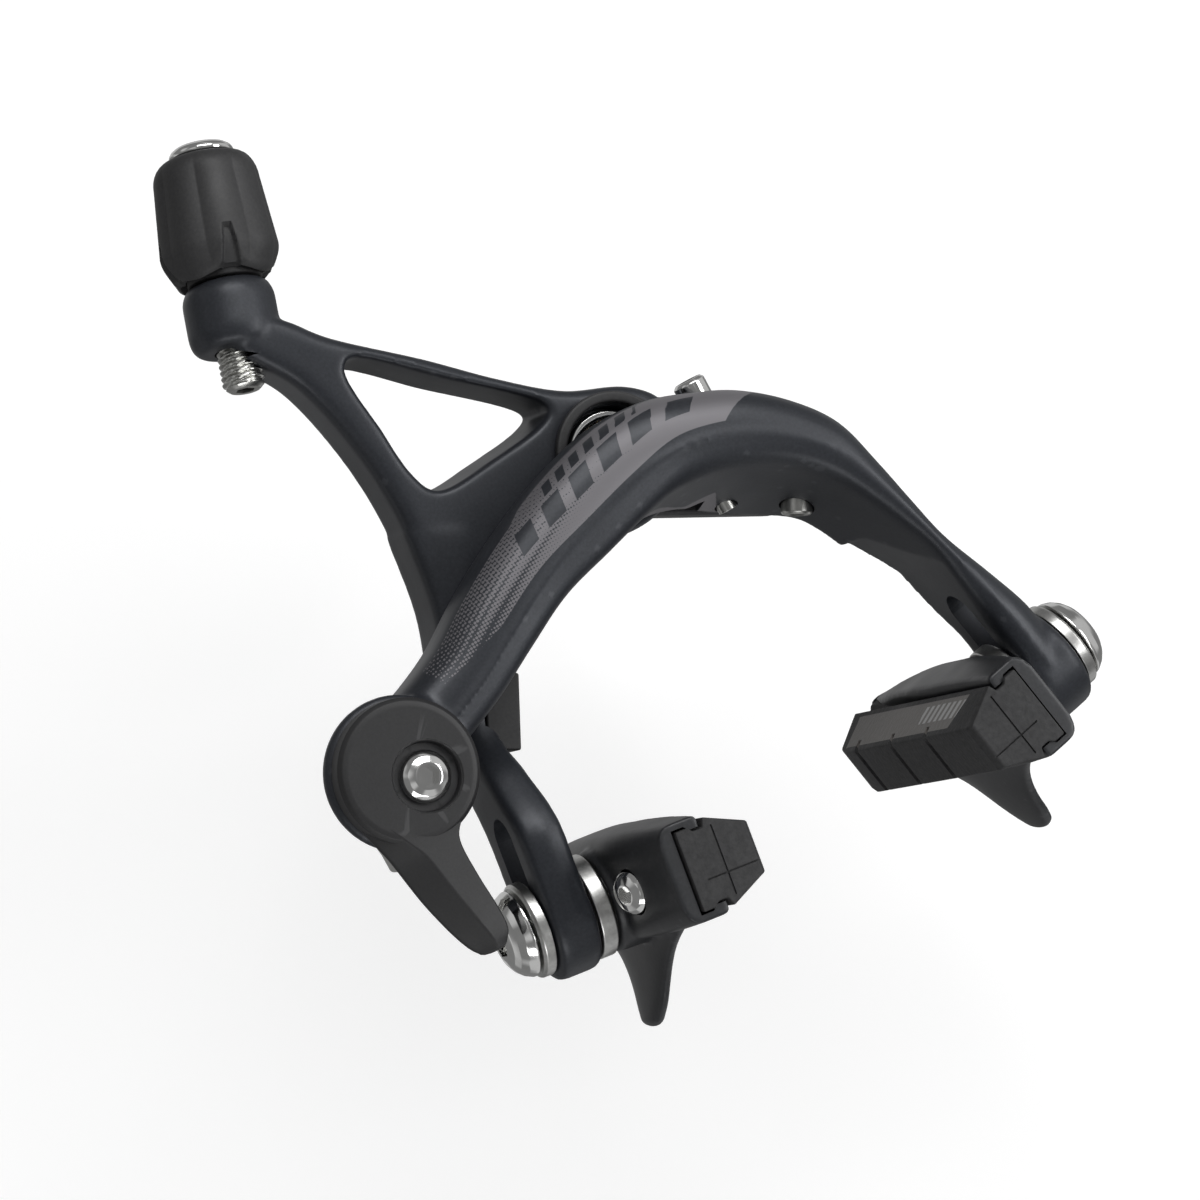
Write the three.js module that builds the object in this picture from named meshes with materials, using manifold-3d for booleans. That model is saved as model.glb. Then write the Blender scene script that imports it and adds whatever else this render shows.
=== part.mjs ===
// Dual-pivot side-pull rim brake caliper, in millimetres, shown fully open with no cable fitted.
// +X is the bicycle's left-right axis, +Y points back to the fork, +Z is up.
// The origin is the centre bolt's axis where it meets the fork crown.
import * as THREE from "three";
import { mergeVertices } from "three/addons/utils/BufferGeometryUtils.js";
import Module from "manifold-3d";

const wasm = await Module();
wasm.setup();

// Driving dimensions.
const ROUND = 20; // sides of a round piece
const FINE = 32; // sides of a large visible one
const GAP = 0.25; // clearance between pieces that touch
const PIVOT = { x: 21.5, z: -12 }; // side pivot of the front arm
const HUB_RADIUS = 10; // rear arm's pivot hub
const PIN_RADIUS = 2.5;
const BUSH_WALL = 0.8;
const NOSE_RADIUS = 4; // centre bolt's bearing nose
const BOLT_RADIUS = 3; // M6
const REAR_ARM = { front: -18.5, back: -8 };
const FRONT_ARM = { front: -30, mid: -20.3, back: -12.3 };
const BRACKET = { front: -7.4, back: -2.8 };
const ANCHOR = { x: -47.1, z: -20.5, radius: 10 }; // front arm's round end
const CAM_OFFSET = { x: 1.6, z: -1.6 }; // eccentric pin from the hub's axis
const AXLE_RADIUS = 4.6; // quick release's through axle
const SYNC_X = 13.6; // centring screw, on top of the rear arm's finger
const WIRE_RADIUS = 0.8; // return spring
const LEG = { round: 7.3, centre: -22 }; // lower ends of both arms, along Y
const SLOT = { radius: 3.15, travel: 11 };
const LEFT = { side: 1, x: -36.4, z: -46.4, tilt: 8.5, half: 2.85 };
const RIGHT = { side: -1, x: 34.6, z: -49.8, tilt: 10.6, half: 3.2 };
const PAD = { front: -23.5, back: 26.5, root: 10.5, face: 19.9, rootHalf: 5.7, faceHalf: 3.3, lift: 0.9 };
const BOSS = { x: -33.4, y: -13.2, z: 37.4, radius: 5.6, below: 5, above: 4.2 };
const ADJUSTER_AXIS = new THREE.Vector3(0.36, 0.174, 0.905).normalize();
const STUD_RADIUS = 2.7;
const SLIDER = { x: -28.7, y: -14, z: -21.2, width: 4.4, depth: 9.6, length: 9.6, lean: 28 };

const root = new THREE.Group();

// Materials by use.
const look = (color, roughness, metalness) => ({ color, roughness, metalness });
const FORGED = look(0x2a2c32, 0.5, 0.35);
const BLACK_PLASTIC = look(0x1b1b1c, 0.6, 0.0);
const CHROME = look(0xd8d8d6, 0.15, 1.0);
const STEEL = look(0xa8a7a2, 0.4, 1.0);
const BRONZE = look(0xa9793f, 0.45, 0.9);
const RUBBER = look(0x1a1a1a, 0.9, 0.0);
const HOLDER_BLACK = look(0x1c1d1f, 0.4, 0.3);

function addMesh(name, geometry, finish, parent = root) {
  const mesh = new THREE.Mesh(geometry, new THREE.MeshStandardMaterial(finish));
  mesh.name = name;
  parent.add(mesh);
  return mesh;
}

// Solids: from a closed geometry to manifold-3d and back.
function solid(geometry) {
  const plain = geometry.clone();
  for (const key of Object.keys(plain.attributes)) {
    if (key !== "position") plain.deleteAttribute(key);
  }
  const merged = mergeVertices(plain, 1e-4);
  return new wasm.Manifold(
    new wasm.Mesh({
      numProp: 3,
      vertProperties: new Float32Array(merged.attributes.position.array),
      triVerts: new Uint32Array(merged.index.array),
    }),
  );
}

function geometryOf(body) {
  const mesh = body.getMesh();
  const geometry = new THREE.BufferGeometry();
  geometry.setAttribute("position", new THREE.BufferAttribute(new Float32Array(mesh.vertProperties), 3));
  geometry.setIndex(new THREE.BufferAttribute(new Uint32Array(mesh.triVerts), 1));
  const flat = geometry.toNonIndexed();
  flat.computeVertexNormals();
  return flat;
}

// Turns the faces of a closed geometry outwards where its points ran the other way round.
function outward(geometry) {
  const shape = geometry.index ? geometry.toNonIndexed() : geometry;
  const p = shape.attributes.position;
  const corner = (i) => new THREE.Vector3().fromBufferAttribute(p, i);
  let volume = 0;
  for (let i = 0; i < p.count; i += 3) {
    volume += corner(i).dot(corner(i + 1).cross(corner(i + 2)));
  }
  if (volume < 0) {
    for (let i = 0; i < p.count; i += 3) {
      const a = corner(i + 1);
      const b = corner(i + 2);
      p.setXYZ(i + 1, b.x, b.y, b.z);
      p.setXYZ(i + 2, a.x, a.y, a.z);
    }
  }
  shape.computeVertexNormals();
  return shape;
}

const join = (...parts) => parts.map(solid).reduce((sum, next) => sum.add(next));
const cut = (body, ...tools) => tools.map(solid).reduce((rest, next) => rest.subtract(next), body);

// A lathe-turned piece: [radius, height] pairs along the axis from `base` towards `direction`.
function turned(profile, base, direction, segments = ROUND) {
  const points = profile.map(([r, h]) => new THREE.Vector2(r, h));
  const geometry = outward(new THREE.LatheGeometry(points, segments));
  const axis = new THREE.Vector3(...direction).normalize();
  geometry.applyQuaternion(new THREE.Quaternion().setFromUnitVectors(new THREE.Vector3(0, 1, 0), axis));
  return geometry.translate(...base);
}

const BACK = [0, 1, 0];
const rod = (radius, from, length, direction, segments = ROUND) =>
  turned([[0, 0], [radius, 0], [radius, length], [0, length]], from, direction, segments);
const ring = (inner, outer, from, length, direction, segments = ROUND) =>
  turned([[inner, 0], [outer, 0], [outer, length], [inner, length], [inner, 0]], from, direction, segments);

// A plate with its outline in the XZ plane, from y = front to y = back, edges rounded by `edge`.
function plate(outline, front, back, edge = 0) {
  const geometry = new THREE.ExtrudeGeometry(outline, {
    depth: back - front - 2 * edge,
    bevelEnabled: edge > 0,
    bevelThickness: edge,
    bevelSize: edge,
    bevelOffset: -edge,
    bevelSegments: 2,
    curveSegments: 5,
  });
  return geometry.rotateX(Math.PI / 2).translate(0, back - edge, 0);
}

function smoothOutline(points, divisions = 3) {
  const curve = new THREE.CatmullRomCurve3(points.map(([x, z]) => new THREE.Vector3(x, z, 0)), true);
  return new THREE.Shape(curve.getPoints(points.length * divisions).slice(0, -1)
    .map((p) => new THREE.Vector2(p.x, p.y)));
}

function roundedSlot(halfWidth, bottom, top) {
  const shape = new THREE.Shape();
  shape.absarc(0, bottom, halfWidth, Math.PI, 2 * Math.PI);
  shape.absarc(0, top, halfWidth, 0, Math.PI);
  return shape;
}

// A closed skin over rings of points, with a flat fan at each end.
function loft(rings) {
  const positions = rings.flat().flatMap((p) => [p.x, p.y, p.z]);
  const count = rings[0].length;
  const index = [];
  for (let i = 0; i < rings.length - 1; i++) {
    for (let j = 0; j < count; j++) {
      const a = i * count + j;
      const b = i * count + ((j + 1) % count);
      index.push(a, b, a + count, b, b + count, a + count);
    }
  }
  const last = (rings.length - 1) * count;
  for (let j = 1; j < count - 1; j++) {
    index.push(0, j + 1, j, last, last + j, last + j + 1);
  }
  const geometry = new THREE.BufferGeometry();
  geometry.setAttribute("position", new THREE.Float32BufferAttribute(positions, 3));
  geometry.setIndex(index);
  return outward(geometry);
}

// One section of an arm. `outer`, `inner` and `innerBack` are [x, z]; the inner wall may slant
// from `inner` at the front to `innerBack` at the back. Corners are taken off by `corner`.
function section({ outer, inner, innerBack = inner, front, back, corner = 1.3 }) {
  const o = new THREE.Vector2(...outer);
  const f = new THREE.Vector2(...inner);
  const b = new THREE.Vector2(...innerBack);
  const at = (from, to, t, y) => {
    const p = from.clone().lerp(to, t);
    return new THREE.Vector3(p.x, y, p.y);
  };
  const depth = back - front;
  const c = Math.min(corner, o.distanceTo(f) * 0.35);
  const tf = c / o.distanceTo(f);
  const tb = c / o.distanceTo(b);
  const td = c / depth;
  return [
    at(o, f, tf, front),
    at(o, f, tf * 0.3, front + c * 0.3),
    at(o, f, 0, front + c),
    at(o, b, 0, back - c),
    at(o, b, tb, back),
    at(b, o, tb, back),
    at(b, f, td, back - c),
    at(f, b, td, front + c),
    at(f, o, tf * 0.3, front + c * 0.3),
    at(f, o, tf, front),
  ];
}

// Sections between hand-set stations, every value following a smooth curve.
function armLoft(stations, between = 2) {
  const keys = ["outer", "inner", "innerBack"];
  const full = stations.map((s) => ({ innerBack: s.inner, ...s }));
  const tracks = Object.fromEntries(keys.map((key) => [
    key, new THREE.CatmullRomCurve3(full.map((s) => new THREE.Vector3(...s[key], 0)), false, "centripetal"),
  ]));
  const depthTrack = new THREE.CatmullRomCurve3(
    full.map((s, i) => new THREE.Vector3(s.front, s.back, i)), false, "centripetal");
  const steps = (full.length - 1) * between;
  const rings = [];
  for (let i = 0; i <= steps; i++) {
    const t = i / steps;
    const values = keys.map((key) => tracks[key].getPoint(t));
    const depth = depthTrack.getPoint(t);
    rings.push(section({
      outer: [values[0].x, values[0].y],
      inner: [values[1].x, values[1].y],
      innerBack: [values[2].x, values[2].y],
      front: depth.x,
      back: depth.y,
    }));
  }
  return loft(rings);
}

// Frame of a leg's lower end: u points to the rim, v back, w up along the slot.
function legAxes(end) {
  const a = THREE.MathUtils.degToRad(end.tilt);
  const u = new THREE.Vector3(end.side * Math.cos(a), 0, -Math.sin(a));
  const w = new THREE.Vector3(end.side * Math.sin(a), 0, Math.cos(a));
  const at = (du, dv, dw) =>
    new THREE.Vector3(end.x, LEG.centre + dv, end.z).addScaledVector(u, du).addScaledVector(w, dw);
  return { u, w, at };
}

// Where a leg's outer (-1) or inner (1) face crosses the bolt's height, as [x, z].
function legRim(end, face) {
  const p = legAxes(end).at(face * end.half, 0, 0);
  return [p.x, p.z];
}

// The round lower end of a leg and the slot that the pad bolt slides in.
function legEnd(end) {
  const { u, at } = legAxes(end);
  return rod(LEG.round, at(-end.half, 0, 0).toArray(), 2 * end.half, u.toArray(), FINE);
}

function legSlot(end) {
  const { u, w } = legAxes(end);
  const through = 2 * end.half + 6;
  const geometry = new THREE.ExtrudeGeometry(roundedSlot(SLOT.radius, 0, SLOT.travel), {
    depth: through, bevelEnabled: false, curveSegments: 8,
  });
  geometry.translate(0, 0, -through / 2);
  const sideways = new THREE.Vector3().crossVectors(w, u);
  geometry.applyMatrix4(new THREE.Matrix4().makeBasis(sideways, w, u));
  return geometry.translate(end.x, LEG.centre, end.z);
}

// Clears the way that the inner washer slides along, flush with the leg's inner face.
function washerSeat(end) {
  const { u, w, at } = legAxes(end);
  const room = new THREE.BoxGeometry(20, SLOT.travel + 15, 4);
  const sideways = new THREE.Vector3().crossVectors(w, u);
  room.applyMatrix4(new THREE.Matrix4().makeBasis(sideways, w, u));
  const middle = at(end.half + 2.01, 0, SLOT.travel / 2);
  return room.translate(middle.x, middle.y, middle.z);
}

// Front arm: round anchor end, arch over the wheel, right leg. The rear of its right half
// carries the side pivot and a pocket for the rear arm's finger.
function buildFrontArm() {
  const { front, mid, back } = FRONT_ARM;
  const thin = { front, back: mid };
  const full = { front, back };
  const low = { front: -29.4, back: -14.6 };
  const stations = [
    { outer: [-47.6, -13.4], inner: [-44.4, -26.6], front, back: -24.4 },
    { outer: [-42.3, -12.6], inner: [-39.4, -22.4], front, back: -21.6 },
    { outer: [-35.2, -9.9], inner: [-31, -18.8], ...thin },
    { outer: [-28.8, -5.9], inner: [-24.3, -15.4], ...thin },
    { outer: [-20.9, -1.7], inner: [-17.2, -12], ...thin },
    { outer: [-11.9, 2], inner: [-9.7, -10], ...thin },
    { outer: [-2.9, 4.2], inner: [-2.6, -8], innerBack: [-2.6, -9], ...thin },
    { outer: [4.6, 4], inner: [3.6, -6.6], innerBack: [2.5, -10.4], ...thin },
    { outer: [10.6, 2.1], inner: [9, -7.4], innerBack: [8.2, -13.2], front, back: -15 },
    { outer: [16, -0.4], inner: [13.6, -9.3], innerBack: [13.8, -16.2], ...full },
    { outer: [21.3, -4.6], inner: [17.6, -12], innerBack: [18.6, -19.2], ...full },
    { outer: [25.4, -9.8], inner: [20.9, -15.6], innerBack: [20.8, -22], ...full },
    { outer: [27.3, -16.4], inner: [23.4, -20], innerBack: [22.8, -26], ...full },
    { outer: [28.7, -22.8], inner: [25.7, -25], innerBack: [24.6, -30], ...full },
    { outer: [30.2, -28.8], inner: [27.4, -29.4], innerBack: [26.4, -33.6], ...full },
    { outer: [33.4, -35.4], inner: [28.5, -35.2], innerBack: [28, -37.2], front: -29.7, back: -13.4 },
    { outer: [36.1, -41.4], inner: [29.78, -41.5], ...low },
    { outer: [37.05, -46], inner: [30.8, -47], ...low },
    { outer: legRim(RIGHT, -1), inner: legRim(RIGHT, 1), ...low },
  ];
  const body = join(
    armLoft(stations),
    turned([[0, 0], [9.4, 0], [ANCHOR.radius, 0.6], [9.8, 2], [8.6, 4.8], [7, 7.6], [6.6, 9.6], [0, 9.6]],
      [ANCHOR.x, front - 0.3, ANCHOR.z], BACK, FINE),
    legEnd(RIGHT),
  );
  const hubRoom = [0, 0.07, 0.14, 0.21].map((angle) => rod(HUB_RADIUS + 0.9, [0, mid + 0.01, 0], 20, BACK)
    .translate(-PIVOT.x, 0, -PIVOT.z).rotateY(-angle).translate(PIVOT.x, 0, PIVOT.z));
  const fingerRoom = plate(new THREE.Shape([
    new THREE.Vector2(0, 0.4), new THREE.Vector2(17.2, -1.6),
    new THREE.Vector2(17.2, -9.2), new THREE.Vector2(0, -9.2),
  ]), mid, 0);
  const pivotBore = rod(
    PIN_RADIUS + BUSH_WALL + 2 * GAP + 0.1, [PIVOT.x, mid - 1, PIVOT.z], 20, BACK);
  const anchorBore = rod(AXLE_RADIUS + GAP, [ANCHOR.x, -40, ANCHOR.z], 30, BACK);
  return geometryOf(cut(body, ...hubRoom, fingerRoom, pivotBore, anchorBore, legSlot(RIGHT),
    washerSeat(RIGHT), ...syncScrewHoles(), grubScrewHole()));
}

function buildPivotBush() {
  return ring(PIN_RADIUS + GAP, PIN_RADIUS + GAP + BUSH_WALL,
    [PIVOT.x, FRONT_ARM.mid - 0.6, PIVOT.z], FRONT_ARM.back - FRONT_ARM.mid + 0.4, BACK);
}

// Screws that hold the rear arm's finger between them: one from above, one from below.
const CENTRING = { y: -17.2, top: 3.1, tip: -1.1, radius: 2, headRadius: 2.1 };
const LOWER = { x: 10.3, y: -17, head: -13.6, tip: -8.2, radius: 1.25 };
const GRUB = { x: 17.9, y: -17.2, z: -18.4, radius: 2, length: 3.2 };

const grubAxis = () => new THREE.Vector3(PIVOT.x - GRUB.x, 0, PIVOT.z - GRUB.z).normalize();

function syncScrewHoles() {
  return [
    rod(CENTRING.headRadius + GAP, [SYNC_X, CENTRING.y, -2], 12, [0, 0, 1]),
    rod(LOWER.radius + GAP, [LOWER.x, LOWER.y, -18], 12, [0, 0, 1]),
  ];
}

function grubScrewHole() {
  const axis = grubAxis();
  return rod(GRUB.radius + GAP, [GRUB.x - 3 * axis.x, GRUB.y, GRUB.z - 3 * axis.z], 7, axis.toArray());
}

// A screw with a hexagon socket in its head; the socket is cut from the head end.
function socketScrew(profile, base, direction, socketRadius, socketDepth, segments = ROUND) {
  const socket = rod(socketRadius, base.map((v, i) => v - direction[i] * 0.5), socketDepth + 0.5, direction, 6);
  return geometryOf(cut(solid(turned(profile, base, direction, segments)), socket));
}

function buildCentringScrew() {
  const { top, tip, radius, headRadius, y } = CENTRING;
  const length = top - tip;
  return socketScrew(
    [[0, 0], [headRadius - 0.4, 0], [headRadius, 0.4], [headRadius, 2.6], [radius, 2.8],
      [radius, length - 0.8], [radius - 1.1, length], [0, length]],
    [SYNC_X, y, top], [0, 0, -1], 1.1, 1.6);
}

function buildLowerScrew() {
  const { head, tip, radius, x, y } = LOWER;
  const length = tip - head;
  return socketScrew(
    [[0, 0], [radius, 0], [radius, length - 0.3], [radius - 0.4, length], [0, length]],
    [x, y, head], [0, 0, 1], 0.7, 1.2);
}

function buildGrubScrew() {
  const axis = grubAxis();
  const { radius, length } = GRUB;
  return socketScrew(
    [[0, 0], [radius - 0.3, 0], [radius, 0.3], [radius, length], [0, length]],
    [GRUB.x, GRUB.y, GRUB.z], axis.toArray(), 1.1, 1.5);
}

// Rear arm: hub on the centre bolt, two branches to the adjuster boss round a triangular window,
// a finger to the right and the left leg, which comes forward to the front arm's depth.
const WINDOW = [[-24.2, 25.4], [-14.8, 17.7], [-5, 9.1], [-6.4, 6.7], [-14.4, 5.9], [-22.6, 5.2], [-24, 15]];

function buildRearArm() {
  const { front, back } = REAR_ARM;
  const { x, z } = BOSS;
  const frame = smoothOutline([
    [x - 1, z + 1], [x + 4.6, z - 2.2], [-24.2, 29.4], [-15.4, 21.6], [-8.4, 15.6], [-1.4, 10.2],
    [6, 7], [9.6, 2.6], [9.3, -3.4], [5.4, -8.4], [-1, -10], [-8, -8.6], [-15, -6.6], [-21, -8],
    [-26, -13.4], [-29.6, -11.6], [-28.6, -2], [-28.1, 8], [-29, 17], [-31.4, 26], [x - 2.4, z - 4],
  ]);
  const leg = armLoft([
    { outer: [-28.4, 4], inner: [-19.5, 0], front, back },
    { outer: [-29.9, -6], inner: [-22.4, -9.4], front, back },
    { outer: [-33, -14.5], inner: [-27.4, -17], front: -18.6, back: -8.4 },
    { outer: [-35, -21.5], inner: [-30.4, -23], front: -19.4, back: -9.4 },
    { outer: [-36.4, -28], inner: [-31.2, -28.4], front: -24.6, back: -12 },
    { outer: [-37.42, -34], inner: [-31.7, -34.8], front: -28.8, back: -14.3 },
    { outer: [-38.32, -40.05], inner: [-32.69, -40.9], front: -29.4, back: -14.6 },
    { outer: legRim(LEFT, -1), inner: legRim(LEFT, 1), front: -29.4, back: -14.6 },
  ]);
  const finger = plate(new THREE.Shape([
    new THREE.Vector2(2, -2.2), new THREE.Vector2(15.4, -2.4),
    new THREE.Vector2(15.4, -7), new THREE.Vector2(2, -7.2),
  ]), front + 0.4, -11.4, 0.4);
  const along = (h) => new THREE.Vector3(BOSS.x, BOSS.y, BOSS.z).addScaledVector(ADJUSTER_AXIS, h);
  const boss = turned(
    [[0, 0], [BOSS.radius - 1.6, 0], [BOSS.radius - 0.4, 0.7], [BOSS.radius, 2],
      [BOSS.radius, 7.6], [BOSS.radius - 0.8, BOSS.below + BOSS.above], [0, BOSS.below + BOSS.above]],
    along(-BOSS.below).toArray(), ADJUSTER_AXIS.toArray());
  const body = join(plate(frame, front, back, 1), leg, finger, boss, legEnd(LEFT));
  const windowCut = plate(smoothOutline(WINDOW), front - 1, back + 1);
  const hubBore = rod(NOSE_RADIUS + 1.4, [0, front - 1, 0], 20, BACK);
  const recess = rod(5.7, [0, front - 1, 0], 3.6, BACK);
  const studBore = rod(STUD_RADIUS + GAP, along(-12).toArray(), 24, ADJUSTER_AXIS.toArray());
  return geometryOf(cut(body, windowCut, hubBore, recess, studBore, legSlot(LEFT),
    washerSeat(LEFT), sliderBlock(0.3)));
}

function sliderBlock(grow) {
  const { x, y, z, width, depth, length, lean } = SLIDER;
  const block = new THREE.BoxGeometry(width + 2 * grow, depth + 2 * grow, length + 2 * grow);
  return block.rotateY(THREE.MathUtils.degToRad(lean)).translate(x, y, z);
}

// The left spring slider: a plastic block with upright ribs and a hole for the spring's end.
function buildLeftSlider() {
  const { x, y, z, width, depth, length, lean } = SLIDER;
  const turn = THREE.MathUtils.degToRad(lean);
  const ribs = [];
  for (let i = 0; i < 7; i++) {
    const groove = new THREE.BoxGeometry(0.5, 0.8, length + 2)
      .translate(width / 2 + 0.1, -depth / 2 + 1.2 + i * 1.25, 0);
    ribs.push(groove.rotateY(turn).translate(x, y, z));
  }
  return geometryOf(cut(solid(sliderBlock(0)), ...ribs));
}

// Centre bolt with its bearing nose, and the pieces stacked on it.
function buildCentreBolt() {
  const profile = [[0, 0], [2.6, 0], [NOSE_RADIUS - 1, 0.4], [NOSE_RADIUS - 1, 2.4], [NOSE_RADIUS, 2.5],
    [NOSE_RADIUS, 9.9], [BOLT_RADIUS, 10], [BOLT_RADIUS, 43.4], [BOLT_RADIUS - 0.6, 44], [0, 44]];
  return turned(profile, [0, -17.6, 0], BACK);
}

function buildCapNut() {
  return turned([[0, 0], [3.2, 0], [3.7, 0.4], [3.7, 0.6], [0, 0.6]], [0, -18.4, 0], BACK);
}

const buildNoseRing = () => ring(NOSE_RADIUS + GAP, 5.45, [0, -17.9, 0], 1.8, BACK);
const buildRearBush = () => ring(NOSE_RADIUS + GAP, NOSE_RADIUS + 1.15, [0, -15.6, 0], 7.4, BACK);
const buildThrustWasher = () => ring(NOSE_RADIUS + 0.3, 7.4, [0, REAR_ARM.back + 0.1, 0], 0.4, BACK);
const buildArmWasher = () => ring(6, 8.4, [0, -19.95, 0], 1.2, BACK);

function buildSerratedWasher() {
  const teeth = [];
  const count = 12;
  for (let i = 0; i < count; i++) {
    const groove = new THREE.BoxGeometry(3.4, 0.6, 0.6);
    groove.translate(5.4, -2.6, 0).rotateY((i * 2 * Math.PI) / count);
    teeth.push(groove);
  }
  return geometryOf(cut(solid(ring(BOLT_RADIUS + 0.15, 7, [0, -2.6, 0], 2.6, BACK)), ...teeth));
}

// Bracket: a rounded link from the centre bolt to the side pivot.
function buildBracket() {
  const span = Math.hypot(PIVOT.x, PIVOT.z);
  const heading = Math.atan2(PIVOT.z, PIVOT.x);
  const big = 7;
  const small = 6.2;
  const lean = Math.asin((big - small) / span);
  const outline = new THREE.Shape();
  outline.absarc(0, 0, big, heading + Math.PI / 2 - lean, heading - Math.PI / 2 + lean + 2 * Math.PI);
  outline.absarc(PIVOT.x, PIVOT.z, small, heading - Math.PI / 2 + lean, heading + Math.PI / 2 - lean);
  const link = join(
    plate(outline, BRACKET.front, BRACKET.back, 0.6),
    rod(5, [PIVOT.x, -11.4, PIVOT.z], 5, BACK),
  );
  return geometryOf(cut(link,
    rod(BOLT_RADIUS + 0.15, [0, -10, 0], 12, BACK),
    rod(PIN_RADIUS + 0.15, [PIVOT.x, -12, PIVOT.z], 12, BACK)));
}

function buildSidePin() {
  const start = FRONT_ARM.mid - 0.4;
  const length = BRACKET.back + 0.6 - start;
  return turned([[0, 0], [PIN_RADIUS - 0.3, 0], [PIN_RADIUS, 0.3], [PIN_RADIUS, length - 0.3],
    [PIN_RADIUS - 0.3, length], [0, length]], [PIVOT.x, start, PIVOT.z], BACK);
}

const buildSideWasher = () => ring(PIN_RADIUS + 0.3, 4.8, [PIVOT.x, -12.05, PIVOT.z], 0.45, BACK);

// Return spring: one wire that rises from the left slider, passes over the bracket and runs down
// behind the front arm to the right slider.
const SPRING_Y = -5.2;
const SPRING_LEFT = [-27.9, -19.6];
const SPRING_ROUTE = [SPRING_LEFT, [-21, -13], [-13.6, -6.4], [-8.4, -0.6], [-6, 5.6], [0, 8.1],
  [6.5, 5.5], [13, 1.7], [19, -2.2], [23.6, -4.5], [27.7, -7.9], [30.3, -13], [31.2, -17.5],
  [30.6, -21.6], [29.6, -25.6]];

function buildReturnSpring() {
  const path = new THREE.CatmullRomCurve3(
    SPRING_ROUTE.map(([x, z]) => new THREE.Vector3(x, SPRING_Y, z)));
  const wire = new THREE.Shape();
  wire.absarc(0, 0, WIRE_RADIUS, 0, 2 * Math.PI);
  return new THREE.ExtrudeGeometry(wire, { steps: 34, curveSegments: 3, extrudePath: path });
}

// Right spring slider: a small plastic block on the back of the front arm.
function buildRightSlider() {
  const block = new THREE.BoxGeometry(5, 5.6, 8).rotateY(THREE.MathUtils.degToRad(-14));
  block.translate(29.2, -9, -24);
  const wireRoom = rod(WIRE_RADIUS + 0.4, [32, SPRING_Y, -12], 16, [-0.16, 0, -1], 16);
  return geometryOf(cut(solid(block), wireRoom));
}

// Cable adjuster, along the tilted axis of the boss.
const alongAdjuster = (h) =>
  new THREE.Vector3(BOSS.x, BOSS.y, BOSS.z).addScaledVector(ADJUSTER_AXIS, h).toArray();

function buildStud() {
  const bottom = -9.4;
  const length = 30;
  const pitch = 0.8;
  const core = STUD_RADIUS - 0.35;
  const profile = [[1.1, 1.6], [1.1, length], [core, length]];
  profile.push([core, 5.6]);
  for (let i = 6; i >= 0; i--) {
    profile.push([STUD_RADIUS, 0.8 + (i + 0.5) * pitch - 0.1]);
    profile.push([core, 0.8 + i * pitch - 0.1]);
  }
  profile.push([core - 0.4, 0], [1.5, 0], [1.5, 1.6], [1.1, 1.6]);
  return turned(profile.reverse(), alongAdjuster(bottom), ADJUSTER_AXIS.toArray());
}

function buildBarrel() {
  const inner = STUD_RADIUS + 0.2;
  return turned([[inner, 1.4], [4.9, 1.4], [5.4, 0], [6, 0.3], [7.5, 3.8], [7.1, 9.4], [6.7, 12.6],
    [5.4, 15], [4.4, 15.8], [inner, 15.8], [inner, 1.4]],
  alongAdjuster(4.8), ADJUSTER_AXIS.toArray(), 12);
}

function buildEndCap() {
  return turned([[2.65, 0], [4, 0], [4.1, 0.5], [3.6, 1.2], [2.9, 1.5], [2.65, 1.5], [2.65, 0]],
    alongAdjuster(20.85), ADJUSTER_AXIS.toArray());
}

const buildSealRing = () => ring(STUD_RADIUS + 0.2, 4.7,
  alongAdjuster(BOSS.above + 0.25), 1.5, ADJUSTER_AXIS.toArray());

// Quick release: a hub disc with a lever, a through axle with an eccentric pin, and the anchor.
function buildQuickReleaseLever() {
  const { x, z } = ANCHOR;
  const front = -33.9;
  const back = -30.6;
  const disc = turned([[0, 0], [8.2, 0], [8.9, 0.5], [9, 1.2], [9, back - front], [0, back - front]],
    [x, front, z], BACK, FINE);
  const lever = plate(smoothOutline([
    [x - 8.7, z + 1], [x - 8.3, z - 3.4], [x - 7.2, z - 8], [x - 6, z - 15], [x - 4.2, z - 21.4],
    [x - 3.2, z - 23.4], [x - 1.4, z - 24.4], [x + 0.8, z - 23.8], [x + 1.8, z - 21.6], [x + 1.4, z - 15],
    [x + 1.3, z - 10.4], [x + 3, z - 8.2], [x + 6, z - 5.6], [x, z + 2],
  ]), front, back - 0.3, 0.7);
  const recess = turned([[0, 0], [4.4, 0], [4, 2.4], [0, 2.4]],
    [x + CAM_OFFSET.x, front - 1, z + CAM_OFFSET.z], BACK);
  const screwHole = rod(2.1, [x + CAM_OFFSET.x, front - 1, z + CAM_OFFSET.z], 9, BACK);
  return geometryOf(cut(join(disc, lever), recess, screwHole));
}

function buildLeverScrew() {
  const profile = [[0, 0], [1.7, 0.05], [2.7, 0.5], [3.3, 1.3], [3.3, 1.6], [1.8, 1.6], [1.8, 7], [0, 7]];
  return socketScrew(profile, [ANCHOR.x + CAM_OFFSET.x, -34.4, ANCHOR.z + CAM_OFFSET.z], BACK, 1.45, 1.4);
}

function buildHubAxle() {
  const { x, z } = ANCHOR;
  const shaft = rod(AXLE_RADIUS, [x, -30.4, z], 10.7, BACK);
  const pin = rod(2, [x - CAM_OFFSET.x, -20, z - CAM_OFFSET.z], 5.4, BACK);
  const thread = rod(2.05, [x + CAM_OFFSET.x, -31, z + CAM_OFFSET.z], 4.4, BACK);
  return geometryOf(cut(solid(shaft), thread).add(solid(pin)));
}

const ANCHOR_PIN = { x: ANCHOR.x - CAM_OFFSET.x, z: ANCHOR.z - CAM_OFFSET.z };
const CLAMP = { x: ANCHOR_PIN.x + 2.9, z: ANCHOR_PIN.z - 9.3 };

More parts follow.
